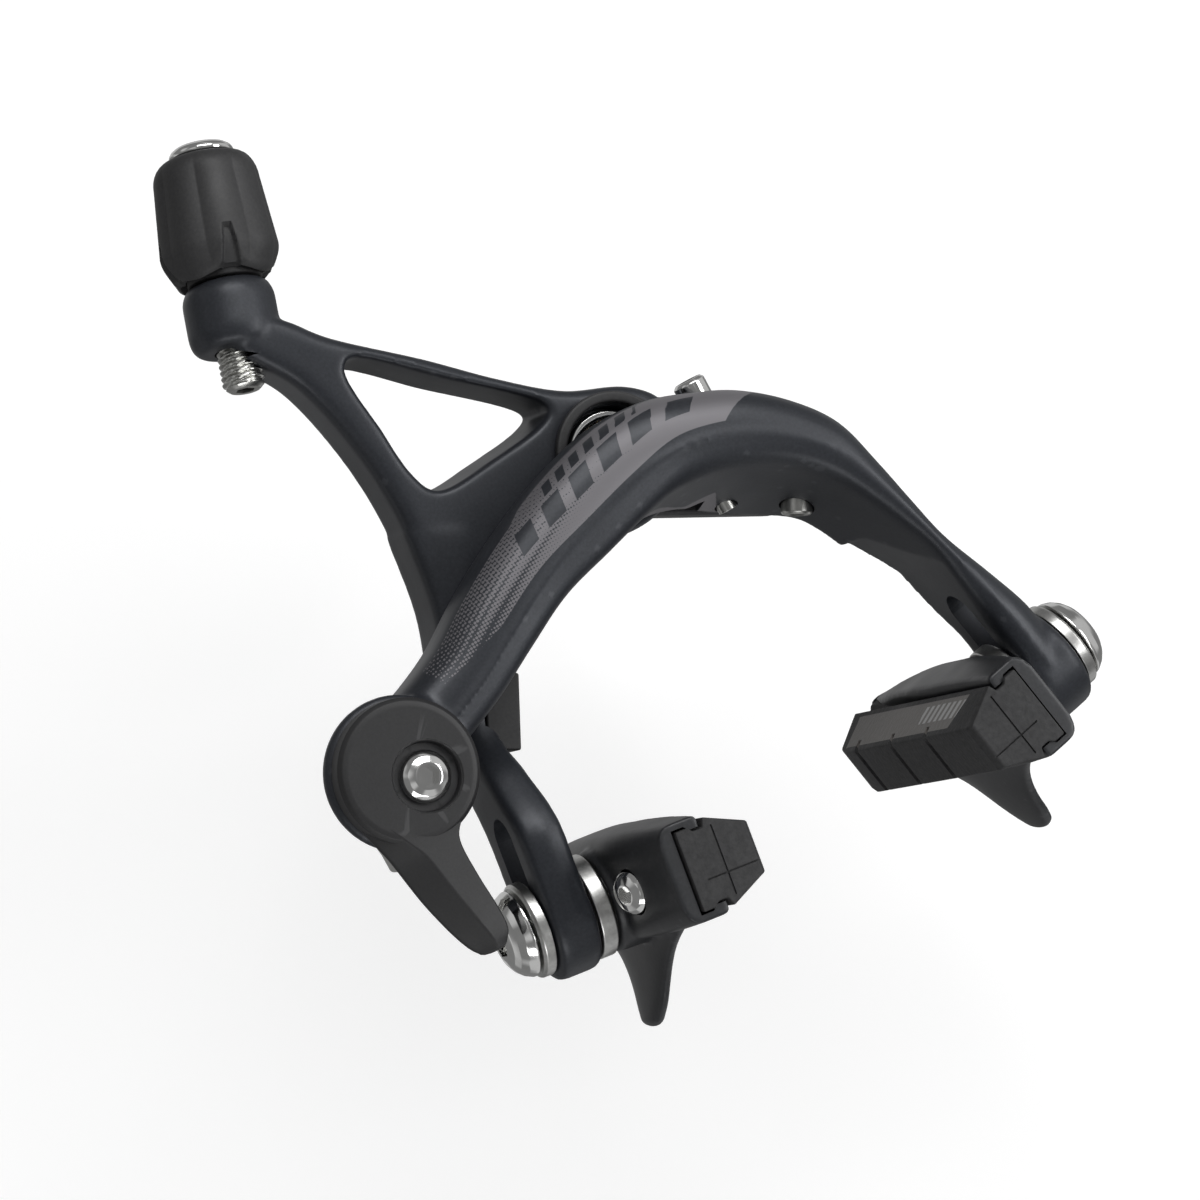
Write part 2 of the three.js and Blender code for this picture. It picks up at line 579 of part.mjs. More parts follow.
function buildAnchorBlock() {
  const { x, z } = ANCHOR_PIN;
  const outline = new THREE.Shape([
    [x - 3, z + 2.8], [x + 3, z + 2.8], [x + 4.4, z - 4], [CLAMP.x + 4, CLAMP.z - 1],
    [CLAMP.x + 3.4, CLAMP.z - 4.6], [CLAMP.x - 2.6, CLAMP.z - 4.6], [CLAMP.x - 4.8, CLAMP.z - 3.4],
    [CLAMP.x - 4.8, CLAMP.z + 1], [x - 3.8, z - 2.6],
  ].map(([px, pz]) => new THREE.Vector2(px, pz)));
  return geometryOf(cut(solid(plate(outline, -19.4, -16.2, 0.3)),
    rod(2.25, [ANCHOR_PIN.x, -22, ANCHOR_PIN.z], 10, BACK),
    rod(2.7, [CLAMP.x, -22, CLAMP.z], 10, BACK)));
}

function buildClampPlate() {
  const plateSolid = solid(ring(2.75, 4.4, [CLAMP.x, -15.95, CLAMP.z], 1.5, BACK));
  const cableGroove = new THREE.BoxGeometry(0.9, 0.8, 12).translate(CLAMP.x - 3.4, -15.9, CLAMP.z);
  return geometryOf(cut(plateSolid, cableGroove));
}

function buildClampBolt() {
  const profile = [[0, 0], [3, 0], [3.4, 0.5], [3.4, 2.4], [2.4, 2.5], [2.4, 6.9], [0, 6.9]];
  return socketScrew(profile, [CLAMP.x, -11.8, CLAMP.z], [0, -1, 0], 1.8, 1.6);
}

const buildAxleClip = () => ring(2.15, 2.9, [ANCHOR_PIN.x, -15.95, ANCHOR_PIN.z], 0.8, BACK);

// Pad assembly in the leg's own frame, drawn for a leg on the left: +X to the rim, +Y back, +Z up.
function padGroup(end) {
  const group = new THREE.Group();
  const mirror = end.side < 0;
  group.position.set(end.x, LEG.centre, end.z);
  group.rotation.y = THREE.MathUtils.degToRad(end.side * end.tilt);
  root.add(group);
  const name = (piece) => (mirror ? "right_" : "left_") + piece;
  const place = (piece, geometry, finish) =>
    addMesh(name(piece), mirror ? mirrored(geometry) : geometry, finish, group);
  const { half } = end;
  place("pad_bolt", buildPadBolt(half), CHROME);
  place("outer_washer", ring(3.25, 6.1, [-half - 1.85, 0, 0], 1.6, [1, 0, 0]), STEEL);
  place("inner_washer", ring(3.25, 6.6, [half + GAP, 0, 0], 2.1, [1, 0, 0]), STEEL);
  place("ball_washer", buildBallWasher(half), STEEL);
  place("pad_holder", buildPadHolder(half), HOLDER_BLACK);
  place("brake_pad", buildBrakePad(), RUBBER);
  place("pad_screw", buildPadScrew(), CHROME);
}

const mirrored = (geometry) => outward(geometry.clone().scale(-1, 1, 1));

// Dome-headed bolt, threaded into the holder.
function buildPadBolt(half) {
  const head = -half - 5.2;
  const end = 9.4 - head;
  const shank = -half - 2.1 - head;
  const profile = [[0, 0], [2.6, 0.1], [4.2, 0.8], [5.3, 1.9], [5.6, 2.7], [5.6, 2.9], [5, shank],
    [2.9, shank], [2.9, end - 0.4], [2.4, end], [0, end]];
  return socketScrew(profile, [head, 0, 0], [1, 0, 0], 2.2, 2.4);
}

function buildBallWasher(half) {
  const start = half + GAP + 2.1 + 0.2;
  return turned([[3.2, 0], [5.4, 0], [5, 1], [4.2, 1.7], [3.2, 1.7], [3.2, 0]], [start, 0, 0], [1, 0, 0]);
}

// Holder: boss over the bolt, a channel open at the front that grips the pad, and a fin.
function buildPadHolder(half) {
  const start = half + 2.75;
  const { front, back, root: wall } = PAD;
  const boss = turned([[0, 0], [6.3, 0], [6.5, 0.4], [6.6, 3], [6.9, 6.4], [0, 6.4]],
    [start, 0, 0], [1, 0, 0]);
  const skin = loft([
    holderRing(front + 0.6, wall - 2.5, 6.3, wall + 3.4),
    holderRing(front + 8, wall - 3.2, 6.7, wall + 3.4),
    holderRing(-4, wall - 3.9, 6.9, wall + 3.4),
    holderRing(6, wall - 3.7, 6.9, wall + 3.1),
    holderRing(16, wall - 2.6, 6.7, wall + 2.6),
    holderRing(back - 4, wall - 1.6, 6.4, wall + 2),
    holderRing(back + 0.8, wall - 1.4, 6.1, wall + 1.8),
  ]);
  const finOutline = new THREE.Shape();
  finOutline.moveTo(-18, -5);
  finOutline.bezierCurveTo(-9, -9, -5, -12, 1, -16);
  finOutline.bezierCurveTo(4, -18.4, 12, -18.6, 13, -16);
  finOutline.bezierCurveTo(14.4, -12, 17, -9.4, 24, -5);
  const fin = new THREE.ExtrudeGeometry(finOutline, {
    depth: 2, bevelEnabled: true, bevelThickness: 0.5, bevelSize: 0.5, bevelOffset: -0.5,
    bevelSegments: 1, curveSegments: 6,
  });
  fin.applyMatrix4(new THREE.Matrix4().makeBasis(
    new THREE.Vector3(0, 1, 0), new THREE.Vector3(0, 0, 1), new THREE.Vector3(1, 0, 0)));
  fin.translate(10.2, 0, 0);
  const channel = loft(padRings(0.3));
  const boltHole = rod(3.15, [start - 1, 0, 0], 20, [1, 0, 0]);
  const ballSeat = turned([[0, 0], [5.7, 0], [5.3, 1.9], [4.4, 2.7], [0, 2.7]],
    [start - 0.4, 0, 0], [1, 0, 0]);
  return geometryOf(cut(join(boss, skin, fin), channel, boltHole, ballSeat, padScrewRoom()));
}

// A ring of the holder's skin at y: from the outer wall `u0` to the lips `u1`, `h` half height.
function holderRing(y, u0, h, u1) {
  return [
    [u0, h - 1.8], [u0 + 1.8, h], [u1, h], [u1, -h], [u0 + 1.8, -h], [u0, -h + 1.8],
  ].map(([u, w]) => new THREE.Vector3(u, y, w + PAD.lift));
}

// The pad's own sections, from its open front end to its back end, grown by `grow`.
function padRings(grow) {
  const { front, back, root: wall, face, rootHalf, faceHalf, lift } = PAD;
  const end = (y, tip) => {
    const held = 5.1;
    return [
      [wall - grow, held + grow], [wall + 3.5 + grow, held + grow],
      [wall + 3.8 + grow, rootHalf + grow], [tip + grow, faceHalf + grow],
      [tip + grow, -faceHalf - grow], [wall + 3.8 + grow, -rootHalf - grow],
      [wall + 3.5 + grow, -held - grow], [wall - grow, -held - grow],
    ].map(([u, w]) => new THREE.Vector3(u, y, w + lift));
  };
  const extra = grow > 0 ? 3 : 0;
  return [end(front - extra, face - 0.6), end(front + 1, face), end(back - 5, face), end(back - 1.2, face - 1)];
}

function buildBrakePad() {
  const grooves = [];
  for (const y of [-7.4, 5.2, 17.8]) {
    grooves.push(new THREE.BoxGeometry(3, 1.2, 16).translate(PAD.face + 0.1, y, PAD.lift));
  }
  return geometryOf(cut(solid(loft(padRings(0))), ...grooves));
}

// The screw that keeps the pad in, on the slope of the holder ahead of the bolt.
const PAD_SCREW = { base: [5.9, -11.4, 0.4], direction: [0.9, 0.43589, 0], radius: 2.7 };

function padScrewRoom() {
  const { base, direction, radius } = PAD_SCREW;
  return rod(radius + 0.3, base.map((v, i) => v - direction[i] * 3), 5.8, direction);
}

function buildPadScrew() {
  const { base, direction, radius } = PAD_SCREW;
  const start = base.map((v, i) => v - direction[i] * 0.4);
  return socketScrew([[0, 0], [radius - 1, 0], [radius, 0.9], [radius, 3], [0, 3]],
    start, direction, 1.2, 1.4);
}

addMesh("front_arm", buildFrontArm(), FORGED);
addMesh("pivot_bush", buildPivotBush(), BRONZE);
addMesh("centring_screw", buildCentringScrew(), STEEL);
addMesh("lower_sync_screw", buildLowerScrew(), STEEL);
addMesh("pivot_grub_screw", buildGrubScrew(), STEEL);
addMesh("right_spring_slider", buildRightSlider(), BLACK_PLASTIC);
addMesh("rear_arm", buildRearArm(), FORGED);
addMesh("rear_arm_bush", buildRearBush(), BRONZE);
addMesh("left_spring_slider", buildLeftSlider(), BLACK_PLASTIC);
addMesh("centre_bolt", buildCentreBolt(), STEEL);
addMesh("pivot_cap_nut", buildCapNut(), BLACK_PLASTIC);
addMesh("nose_ring", buildNoseRing(), CHROME);
addMesh("rear_thrust_washer", buildThrustWasher(), BRONZE);
addMesh("arm_thrust_washer", buildArmWasher(), BLACK_PLASTIC);
addMesh("serrated_washer", buildSerratedWasher(), STEEL);
addMesh("pivot_bracket", buildBracket(), STEEL);
addMesh("side_pivot_pin", buildSidePin(), STEEL);
addMesh("side_thrust_washer", buildSideWasher(), BRONZE);
addMesh("return_spring", buildReturnSpring(), STEEL);
addMesh("adjuster_stud", buildStud(), STEEL);
addMesh("adjuster_barrel", buildBarrel(), BLACK_PLASTIC);
addMesh("adjuster_end_cap", buildEndCap(), CHROME);
addMesh("adjuster_seal_ring", buildSealRing(), RUBBER);
addMesh("quick_release_lever", buildQuickReleaseLever(), BLACK_PLASTIC);
addMesh("lever_screw", buildLeverScrew(), CHROME);
addMesh("hub_axle", buildHubAxle(), STEEL);
addMesh("cable_anchor_block", buildAnchorBlock(), STEEL);
addMesh("cable_clamp_plate", buildClampPlate(), STEEL);
addMesh("cable_clamp_bolt", buildClampBolt(), STEEL);
addMesh("axle_clip", buildAxleClip(), STEEL);
padGroup(LEFT);
padGroup(RIGHT);

export default root;
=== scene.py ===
# Dual-pivot side-pull rim brake caliper: fine pieces, finishes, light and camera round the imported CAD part.
# Shapes are drawn in millimetres in the CAD frame and scaled to metres when they are placed.
import itertools
import math

import bmesh
import bpy
import numpy as np
from mathutils import Matrix, Vector


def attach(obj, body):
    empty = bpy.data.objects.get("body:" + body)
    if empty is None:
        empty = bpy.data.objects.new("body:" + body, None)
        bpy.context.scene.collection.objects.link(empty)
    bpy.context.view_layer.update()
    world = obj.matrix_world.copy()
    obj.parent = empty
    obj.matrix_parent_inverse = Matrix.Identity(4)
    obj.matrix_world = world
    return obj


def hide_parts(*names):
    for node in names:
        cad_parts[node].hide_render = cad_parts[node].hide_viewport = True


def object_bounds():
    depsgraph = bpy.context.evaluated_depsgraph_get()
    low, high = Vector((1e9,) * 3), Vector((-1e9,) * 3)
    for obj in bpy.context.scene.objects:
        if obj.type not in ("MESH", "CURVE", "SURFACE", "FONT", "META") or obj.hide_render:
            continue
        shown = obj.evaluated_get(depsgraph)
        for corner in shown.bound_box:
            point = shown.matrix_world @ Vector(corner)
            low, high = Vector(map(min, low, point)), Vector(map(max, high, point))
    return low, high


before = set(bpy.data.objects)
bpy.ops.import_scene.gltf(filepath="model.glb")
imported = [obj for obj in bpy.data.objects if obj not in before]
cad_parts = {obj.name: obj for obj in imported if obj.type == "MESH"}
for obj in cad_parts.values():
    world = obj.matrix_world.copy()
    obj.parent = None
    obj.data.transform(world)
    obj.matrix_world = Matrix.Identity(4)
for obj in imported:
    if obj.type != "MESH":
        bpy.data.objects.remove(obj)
CAD_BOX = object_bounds()

MM = 0.001
BACK = (0, 1, 0)
PIVOT = (21.5, -12)
ANCHOR = Vector((-47.1, 0, -20.5))
CAM_OFFSET = Vector((1.6, 0, -1.6))
AXLE_RADIUS = 4.6
LEG_Y = -22
LEG_ROUND = 7.3
SLOT_RADIUS, SLOT_TRAVEL, SLOT_DEPTH = 3.15, 11.0, 8.0
ARM_VOXEL, HOLDER_VOXEL = 0.34, 0.26
BOSS = Vector((-33.4, -13.2, 37.4))
ADJUSTER_AXIS = Vector((0.36, 0.174, 0.905)).normalized()
ENDS = {
    "left": {"side": 1, "x": -36.4, "z": -46.4, "tilt": 8.5, "half": 2.85},
    "right": {"side": -1, "x": 34.6, "z": -49.8, "tilt": 10.6, "half": 3.2},
}


# ---------- mesh helpers ----------

def make(name, verts, faces):
    mesh = bpy.data.meshes.new(name)
    mesh.from_pydata([tuple(v) for v in verts], [], faces)
    bm = bmesh.new()
    bm.from_mesh(mesh)
    bmesh.ops.recalc_face_normals(bm, faces=bm.faces)
    bm.to_mesh(mesh)
    bm.free()
    obj = bpy.data.objects.new(name, mesh)
    bpy.context.scene.collection.objects.link(obj)
    return obj


def drop(*objs):
    for obj in objs:
        mesh = obj.data
        bpy.data.objects.remove(obj)
        bpy.data.meshes.remove(mesh)


def settle(obj):
    """Replaces the mesh by what its modifiers make of it."""
    depsgraph = bpy.context.evaluated_depsgraph_get()
    mesh = bpy.data.meshes.new_from_object(obj.evaluated_get(depsgraph))
    old = obj.data
    obj.modifiers.clear()
    obj.data = mesh
    bpy.data.meshes.remove(old)
    return obj


def from_bmesh(name, bm):
    mesh = bpy.data.meshes.new(name)
    bm.to_mesh(mesh)
    bm.free()
    obj = bpy.data.objects.new(name, mesh)
    bpy.context.scene.collection.objects.link(obj)
    return obj


def merge(name, *objs):
    """One mesh that holds several closed shells, which may overlap."""
    bm = bmesh.new()
    for obj in objs:
        bm.from_mesh(obj.data)
    drop(*objs)
    return from_bmesh(name, bm)


def melt(obj, voxel, rounds):
    """Fuses overlapping shells into one skin with soft transitions."""
    remesh = obj.modifiers.new("skin", "REMESH")
    remesh.mode = "VOXEL"
    remesh.voxel_size = voxel
    soften = obj.modifiers.new("soften", "SMOOTH")
    soften.factor = 0.5
    soften.iterations = rounds
    return settle(obj)


def boolean(obj, operation, *tools):
    for tool in tools:
        step = obj.modifiers.new("step", "BOOLEAN")
        step.operation = operation
        step.solver = "MANIFOLD"
        step.object = tool
    settle(obj)
    drop(*tools)
    return obj


def cut(obj, *tools):
    return boolean(obj, "DIFFERENCE", *tools)


def fuse(obj, *others):
    return boolean(obj, "UNION", *others)


def bevel(obj, width, segments=3, angle=40):
    step = obj.modifiers.new("bevel", "BEVEL")
    step.width = width
    step.segments = segments
    step.limit_method = "ANGLE"
    step.angle_limit = math.radians(angle)
    step.use_clamp_overlap = False
    return settle(obj)


def corner_arc(before, corner, after, radius, share, stops):
    """A quadratic arc in place of a corner; it takes at most a share of each side."""
    ends = []
    for other in (before, after):
        length = (other - corner).length
        ends.append(corner + (other - corner) * (min(radius, length * share) / length))
    return [ends[0] * (1 - t) ** 2 + corner * 2 * t * (1 - t) + ends[1] * t * t for t in stops]


def softened(profile, radius, closed):
    """Takes the corners off a profile with short arcs."""
    pts = [Vector(p) for p in profile]
    if radius <= 0:
        return pts
    last = len(pts) - 1
    out = []
    for k, p in enumerate(pts):
        if not closed and k in (0, last):
            out.append(p)
        else:
            out += corner_arc(pts[k - 1], p, pts[(k + 1) % (last + 1)], radius, 0.4, (0, 0.33, 0.67, 1))
    return out


def axes_of(axis):
    """Two directions across an axis, and the axis."""
    w = Vector(axis).normalized()
    helper = Vector((0, 0, 1)) if abs(w.z) < 0.9 else Vector((1, 0, 0))
    u = helper.cross(w).normalized()
    return u, w.cross(u), w


def turned(name, profile, base, axis, segments=72, soft=0.12, closed=False, wobble=None):
    """A lathe-turned piece: (radius, height) pairs from `base` along `axis`."""
    pts = softened(profile, soft, closed)
    u, v, w = axes_of(axis)
    base = Vector(base)
    verts, rows = [], []
    for p in pts:
        r, h = p
        if r < 1e-6:
            rows.append([len(verts)])
            verts.append(base + w * h)
            continue
        start = len(verts)
        for k in range(segments):
            t = 2 * math.pi * k / segments
            rr, hh = wobble(r, h, t) if wobble else (r, h)
            verts.append(base + u * (rr * math.cos(t)) + v * (rr * math.sin(t)) + w * hh)
        rows.append(list(range(start, start + segments)))
    faces = []
    pairs = list(zip(rows, rows[1:]))
    if closed:
        pairs.append((rows[-1], rows[0]))
    for lower, upper in pairs:
        for k in range(segments):
            n = (k + 1) % segments
            if len(lower) == 1 and len(upper) == 1:
                break
            if len(lower) == 1:
                faces.append((lower[0], upper[n], upper[k]))
            elif len(upper) == 1:
                faces.append((lower[k], lower[n], upper[0]))
            else:
                faces.append((lower[k], lower[n], upper[n], upper[k]))
    return make(name, verts, faces)


def rod(name, radius, base, length, axis, segments=72, soft=0.0):
    return turned(name, [(0, 0), (radius, 0), (radius, length), (0, length)], base, axis, segments, soft)


def ring(name, inner, outer, base, length, axis, segments=72, soft=0.2):
    profile = [(inner, 0), (outer, 0), (outer, length), (inner, length)]
    return turned(name, profile, base, axis, segments, soft, closed=True)


def hexagon(radius, base, length, axis):
    return rod("hexagon", radius, base, length, axis, segments=6)


def box(name, size, centre, frame_axes=None):
    u, v, w = frame_axes or (Vector((1, 0, 0)), Vector((0, 1, 0)), Vector((0, 0, 1)))
    centre = Vector(centre)
    verts = [centre + u * (a * size[0] / 2) + v * (b * size[1] / 2) + w * (c * size[2] / 2)
             for a in (-1, 1) for b in (-1, 1) for c in (-1, 1)]
    faces = [(0, 1, 3, 2), (4, 6, 7, 5), (0, 4, 5, 1), (2, 3, 7, 6), (0, 2, 6, 4), (1, 5, 7, 3)]
    return make(name, verts, faces)


def loft(name, rings):
    """A closed skin over rings of equally many points."""
    count = len(rings[0])
    verts = [p for one in rings for p in one]
    faces = []
    for i in range(len(rings) - 1):
        for j in range(count):
            n = (j + 1) % count
            faces.append((i * count + j, i * count + n, (i + 1) * count + n, (i + 1) * count + j))
    faces.append(tuple(range(count - 1, -1, -1)))
    faces.append(tuple((len(rings) - 1) * count + j for j in range(count)))
    return make(name, verts, faces)


def between(a, b, c, d, steps):
    """Points of a Catmull-Rom curve from b up to, but not including, c."""
    for k in range(steps):
        t = k / steps
        yield 0.5 * (2 * b + (c - a) * t + (2 * a - 5 * b + 4 * c - d) * t ** 2
                     + (3 * b - a - 3 * c + d) * t ** 3)


def smooth_loop(points, steps=6):
    """Points of a closed curve."""
    p = np.array(points, float)
    n = len(p)
    return [q for i in range(n) for q in between(p[i - 1], p[i], p[(i + 1) % n], p[(i + 2) % n], steps)]


def smooth_track(rows, steps=6):
    """Rows of an open curve through rows of numbers."""
    p = np.array(rows, float)
    p = np.vstack([2 * p[0] - p[1], p, 2 * p[-1] - p[-2]])
    return [q for i in range(1, len(p) - 2) for q in between(*p[i - 1:i + 3], steps)] + [p[-2]]


def plate(name, outline, front, back):
    """A prism with its outline in the XZ plane."""
    return loft(name, [[(x, y, z) for x, z in outline] for y in (front, back)])


def socket_screw(name, profile, base, axis, socket, depth, soft=0.12):
    axis = Vector(axis).normalized()
    screw = turned(name, profile, base, axis, soft=soft)
    return cut(screw, hexagon(socket, Vector(base) - axis, depth + 1, axis))


# ---------- finishes ----------

PATCH_SCALE = 90.0


def new_material(name):
    mat = bpy.data.materials.new(name)
    mat.use_nodes = True
    return mat, mat.node_tree.nodes, mat.node_tree.links


def add(nodes, kind, inputs=None, **attributes):
    """A new shader node with some of its attributes and inputs set."""
    node = nodes.new("ShaderNode" + kind)
    for name, value in attributes.items():
        setattr(node, name, value)
    for name, value in (inputs or {}).items():
        node.inputs[name].default_value = value
    return node


def finish(name, dark, light, metallic, rough, grain, bump, depth=0.00003, edge_wear_and_highlight=None):
    """Principled finish: colour and bump from fine grain, roughness from larger patches, and a lighter colour on
    convex edges that is partly edge wear and partly a painted edge highlight.
    """
    mat, nodes, links = new_material(name)
    bsdf = nodes["Principled BSDF"]
    bsdf.inputs["Metallic"].default_value = metallic
    coord = add(nodes, "TexCoord")
    fine = add(nodes, "TexNoise", {"Scale": grain, "Detail": 5, "Roughness": 0.6})
    broad = add(nodes, "TexNoise", {"Scale": PATCH_SCALE, "Detail": 3})
    for noise in (fine, broad):
        links.new(coord.outputs["Object"], noise.inputs["Vector"])
    ramp = add(nodes, "ValToRGB")
    for stop, position, shade in zip(ramp.color_ramp.elements, (0.3, 0.72), (dark, light)):
        stop.position = position
        stop.color = (*shade, 1)
    links.new(fine.outputs[0], ramp.inputs[0])
    spread = add(nodes, "MapRange", {"From Min": 0.3, "From Max": 0.7, "To Min": rough[0], "To Max": rough[1]})
    links.new(broad.outputs[0], spread.inputs["Value"])
    links.new(spread.outputs[0], bsdf.inputs["Roughness"])
    relief = add(nodes, "Bump", {"Strength": bump, "Distance": depth})
    links.new(fine.outputs[0], relief.inputs["Height"])
    links.new(relief.outputs[0], bsdf.inputs["Normal"])
    colour = ramp.outputs[0]
    # Convex edges, found by pointiness, are lightened: partly wear, partly a painted highlight along the edges.
    if edge_wear_and_highlight:
        worn_and_highlit = mix_colour(nodes, links, colour, edge_wear_and_highlight)
        edge = add(nodes, "MapRange", {"From Min": 0.53, "From Max": 0.62, "To Max": 0.6})
        links.new(add(nodes, "NewGeometry").outputs["Pointiness"], edge.inputs["Value"])
        links.new(edge.outputs[0], worn_and_highlit.inputs[0])
        colour = worn_and_highlit.outputs[2]
    links.new(colour, bsdf.inputs["Base Color"])
    return mat


def mix_colour(nodes, links, first, second):
    """A colour mix of a socket and a plain colour; its factor is linked by the caller."""
    mix = add(nodes, "Mix", data_type="RGBA")
    links.new(first, mix.inputs[6])
    mix.inputs[7].default_value = (*second, 1)
    return mix


class Maths:
    """Short forms for Math nodes in one material."""

    def __init__(self, mat):
        self.nodes = mat.node_tree.nodes
        self.links = mat.node_tree.links

    def op(self, kind, *values):
        node = add(self.nodes, "Math", operation=kind)
        for socket, value in zip(node.inputs, values):
            if isinstance(value, (int, float)):
                socket.default_value = value
            else:
                self.links.new(value, socket)
        return node.outputs[0]

    def above(self, value, edge, soft):
        """0 below edge, 1 above it, over a short soft step."""
        clamp = add(self.nodes, "Clamp")
        self.links.new(self.op("DIVIDE", self.op("SUBTRACT", value, edge), soft), clamp.inputs[0])
        return clamp.outputs[0]

    def below(self, value, edge, soft):
        return self.op("SUBTRACT", 1.0, self.above(value, edge, soft))

    def all_of(self, *values):
        total = values[0]
        for value in values[1:]:
            total = self.op("MULTIPLY", total, value)
        return total


def overlay(mat, mask, colour, roughness):
    """Lays a colour and a roughness over a finish where mask is 1."""
    nodes, links = mat.node_tree.nodes, mat.node_tree.links
    bsdf = nodes["Principled BSDF"]
    mix = mix_colour(nodes, links, bsdf.inputs["Base Color"].links[0].from_socket, colour)
    links.new(mask, mix.inputs[0])
    links.new(mix.outputs[2], bsdf.inputs["Base Color"])
    m = Maths(mat)
    old = bsdf.inputs["Roughness"].links[0].from_socket
    gap = m.op("SUBTRACT", roughness, old)
    links.new(m.op("ADD", old, m.op("MULTIPLY", gap, mask)), bsdf.inputs["Roughness"])


# Where a finish is given an edge colour, it lightens convex edges: partly edge wear, partly a painted edge highlight.
FORGED = dict(dark=(0.020, 0.022, 0.027), light=(0.030, 0.033, 0.040), metallic=0.35, rough=(0.36, 0.47),
              grain=2600, bump=0.22, edge_wear_and_highlight=(0.055, 0.058, 0.066))
MATS = {
    "forged_arm": finish("forged_rear_arm", **FORGED),
    "forged_front": finish("forged_front_arm", **FORGED),
    "black_lever": finish("black_lever_moulding", (0.009, 0.009, 0.010), (0.014, 0.014, 0.015), 0.0,
                          (0.48, 0.6), 3200, 0.3, edge_wear_and_highlight=(0.05, 0.05, 0.052)),
    "black_plastic": finish("black_plastic_moulding", (0.016, 0.016, 0.017), (0.026, 0.026, 0.027), 0.0,
                            (0.5, 0.66), 2400, 0.35),
    "chrome": finish("chrome_plating", (0.76, 0.76, 0.75), (0.84, 0.84, 0.83), 1.0, (0.06, 0.13), 500, 0.04),
    "steel": finish("turned_steel", (0.42, 0.42, 0.40), (0.56, 0.56, 0.54), 1.0, (0.24, 0.36), 900, 0.12),
    "washer_steel": finish("satin_washer_steel", (0.46, 0.46, 0.45), (0.60, 0.60, 0.585), 1.0, (0.26, 0.36),
                           1600, 0.25),
    "dark_steel": finish("blackened_steel", (0.030, 0.030, 0.032), (0.055, 0.055, 0.058), 0.6, (0.36, 0.5),
                         1100, 0.2),
    "bronze": finish("sintered_bronze", (0.33, 0.20, 0.09), (0.48, 0.31, 0.15), 0.95, (0.35, 0.5), 1500, 0.4),
    "rubber": finish("moulded_rubber", (0.012, 0.012, 0.013), (0.022, 0.022, 0.023), 0.0, (0.6, 0.75),
                     1500, 0.5),
    "pad_holder_black": finish("satin_black_holder", (0.018, 0.019, 0.021), (0.028, 0.029, 0.032), 0.25,
                               (0.34, 0.44), 2200, 0.2, edge_wear_and_highlight=(0.05, 0.05, 0.055)),
    "pad_rubber": finish("rough_pad_rubber", (0.013, 0.013, 0.014), (0.030, 0.030, 0.031), 0.0, (0.62, 0.8),
                         1300, 0.8, depth=0.00012),
}


def place(obj, body, slot, node, matrix=None, material=None, crease=35):
    """Scales a finished piece to metres, gives it its finish and puts it on its body in a CAD node's place."""
    mesh = obj.data
    mesh.transform(Matrix.Scale(MM, 4))
    mesh.update()
    mesh.polygons.foreach_set("use_smooth", [True] * len(mesh.polygons))
    mesh.set_sharp_from_angle(angle=math.radians(crease))
    flatten = obj.modifiers.new("flat_faces", "WEIGHTED_NORMAL")
    flatten.keep_sharp = True
    if matrix is not None:
        obj.matrix_world = matrix
    mesh.materials.clear()
    mesh.materials.append(MATS[material or slot])
    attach(obj, body)
    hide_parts(node)


# ---------- arms ----------

def rounded_quad(corners, radii, crown=0.0, turn=7):
    """A polygon with rounded corners; its last side, from the last corner to the first, is crowned forward."""
    out = []
    n = len(corners)
    stops = [s / turn for s in range(turn + 1)]
    for k, p in enumerate(corners):
        share = 0.6 if radii[k] > 4 else 0.38
        out += corner_arc(corners[k - 1], p, corners[(k + 1) % n], radii[k], share, stops)
    first, last = out[-1], out[0]
    for s in range(1, 8):
        t = s / 8
        out.append(first.lerp(last, t) + Vector((0, -crown * 4 * t * (1 - t), 0)))
    return out


def arm_rows(stations):
    rows = []
    for outer, inner, inner_back, front, back in stations:
        rows.append([*outer, *inner, *(inner_back or inner), front, back])
    return smooth_track(rows)


def arm_loft(name, stations, radii, crown):
    rings = []
    for ox, oz, ix, iz, bx, bz, front, back in arm_rows(stations):
        corners = [Vector(c) for c in ((ox, front, oz), (ox, back, oz), (bx, back, bz), (ix, front, iz))]
        rings.append(rounded_quad(corners, radii, crown))
    return loft(name, rings)


def leaning(degrees, side=1):
    """Axes turned about Y: across, back and up; side -1 mirrors the first."""
    a = math.radians(degrees)
    return (Vector((side * math.cos(a), 0, -math.sin(a))), Vector(BACK),
            Vector((side * math.sin(a), 0, math.cos(a))))


def leg_axes(end):
    return leaning(end["tilt"], end["side"])


def leg_point(end, du, dv=0.0, dw=0.0):
    u, v, w = leg_axes(end)
    return Vector((end["x"], LEG_Y, end["z"])) + u * du + v * dv + w * dw


def leg_rim(end, face):
    p = leg_point(end, face * end["half"])
    return (p.x, p.z)


def leg_end(end):
    u = leg_axes(end)[0]
    half = end["half"]
    profile = [(0, 0), (LEG_ROUND, 0), (LEG_ROUND, 2 * half), (0, 2 * half)]
    return turned("leg_end", profile, leg_point(end, -half), u, soft=1.0)


def leg_slot(end):
    """The tool that cuts the pad bolt's slot."""
    loop = []
    for start, rise in ((math.pi, 0), (0, SLOT_TRAVEL)):
        for k in range(25):
            t = start + math.pi * k / 24
            loop.append((SLOT_RADIUS * math.cos(t), rise + SLOT_RADIUS * math.sin(t)))
    return loft("leg_slot", [[leg_point(end, u, v, w) for v, w in loop] for u in (-SLOT_DEPTH, SLOT_DEPTH)])


def washer_seat(end):
    """Flat inner face for the washers, which runs out into the leg above in a slope."""
    low, level, high = -7.5, 19, 26.5
    flat = end["half"] + 0.01
    profile = [(flat, low), (flat + 4, low), (flat + 4, high), (flat + 3, high), (flat + 0.7, 21),
               (flat, level)]
    return loft("washer_seat", [[leg_point(end, u, v, w) for u, w in profile] for v in (-10, 10)])


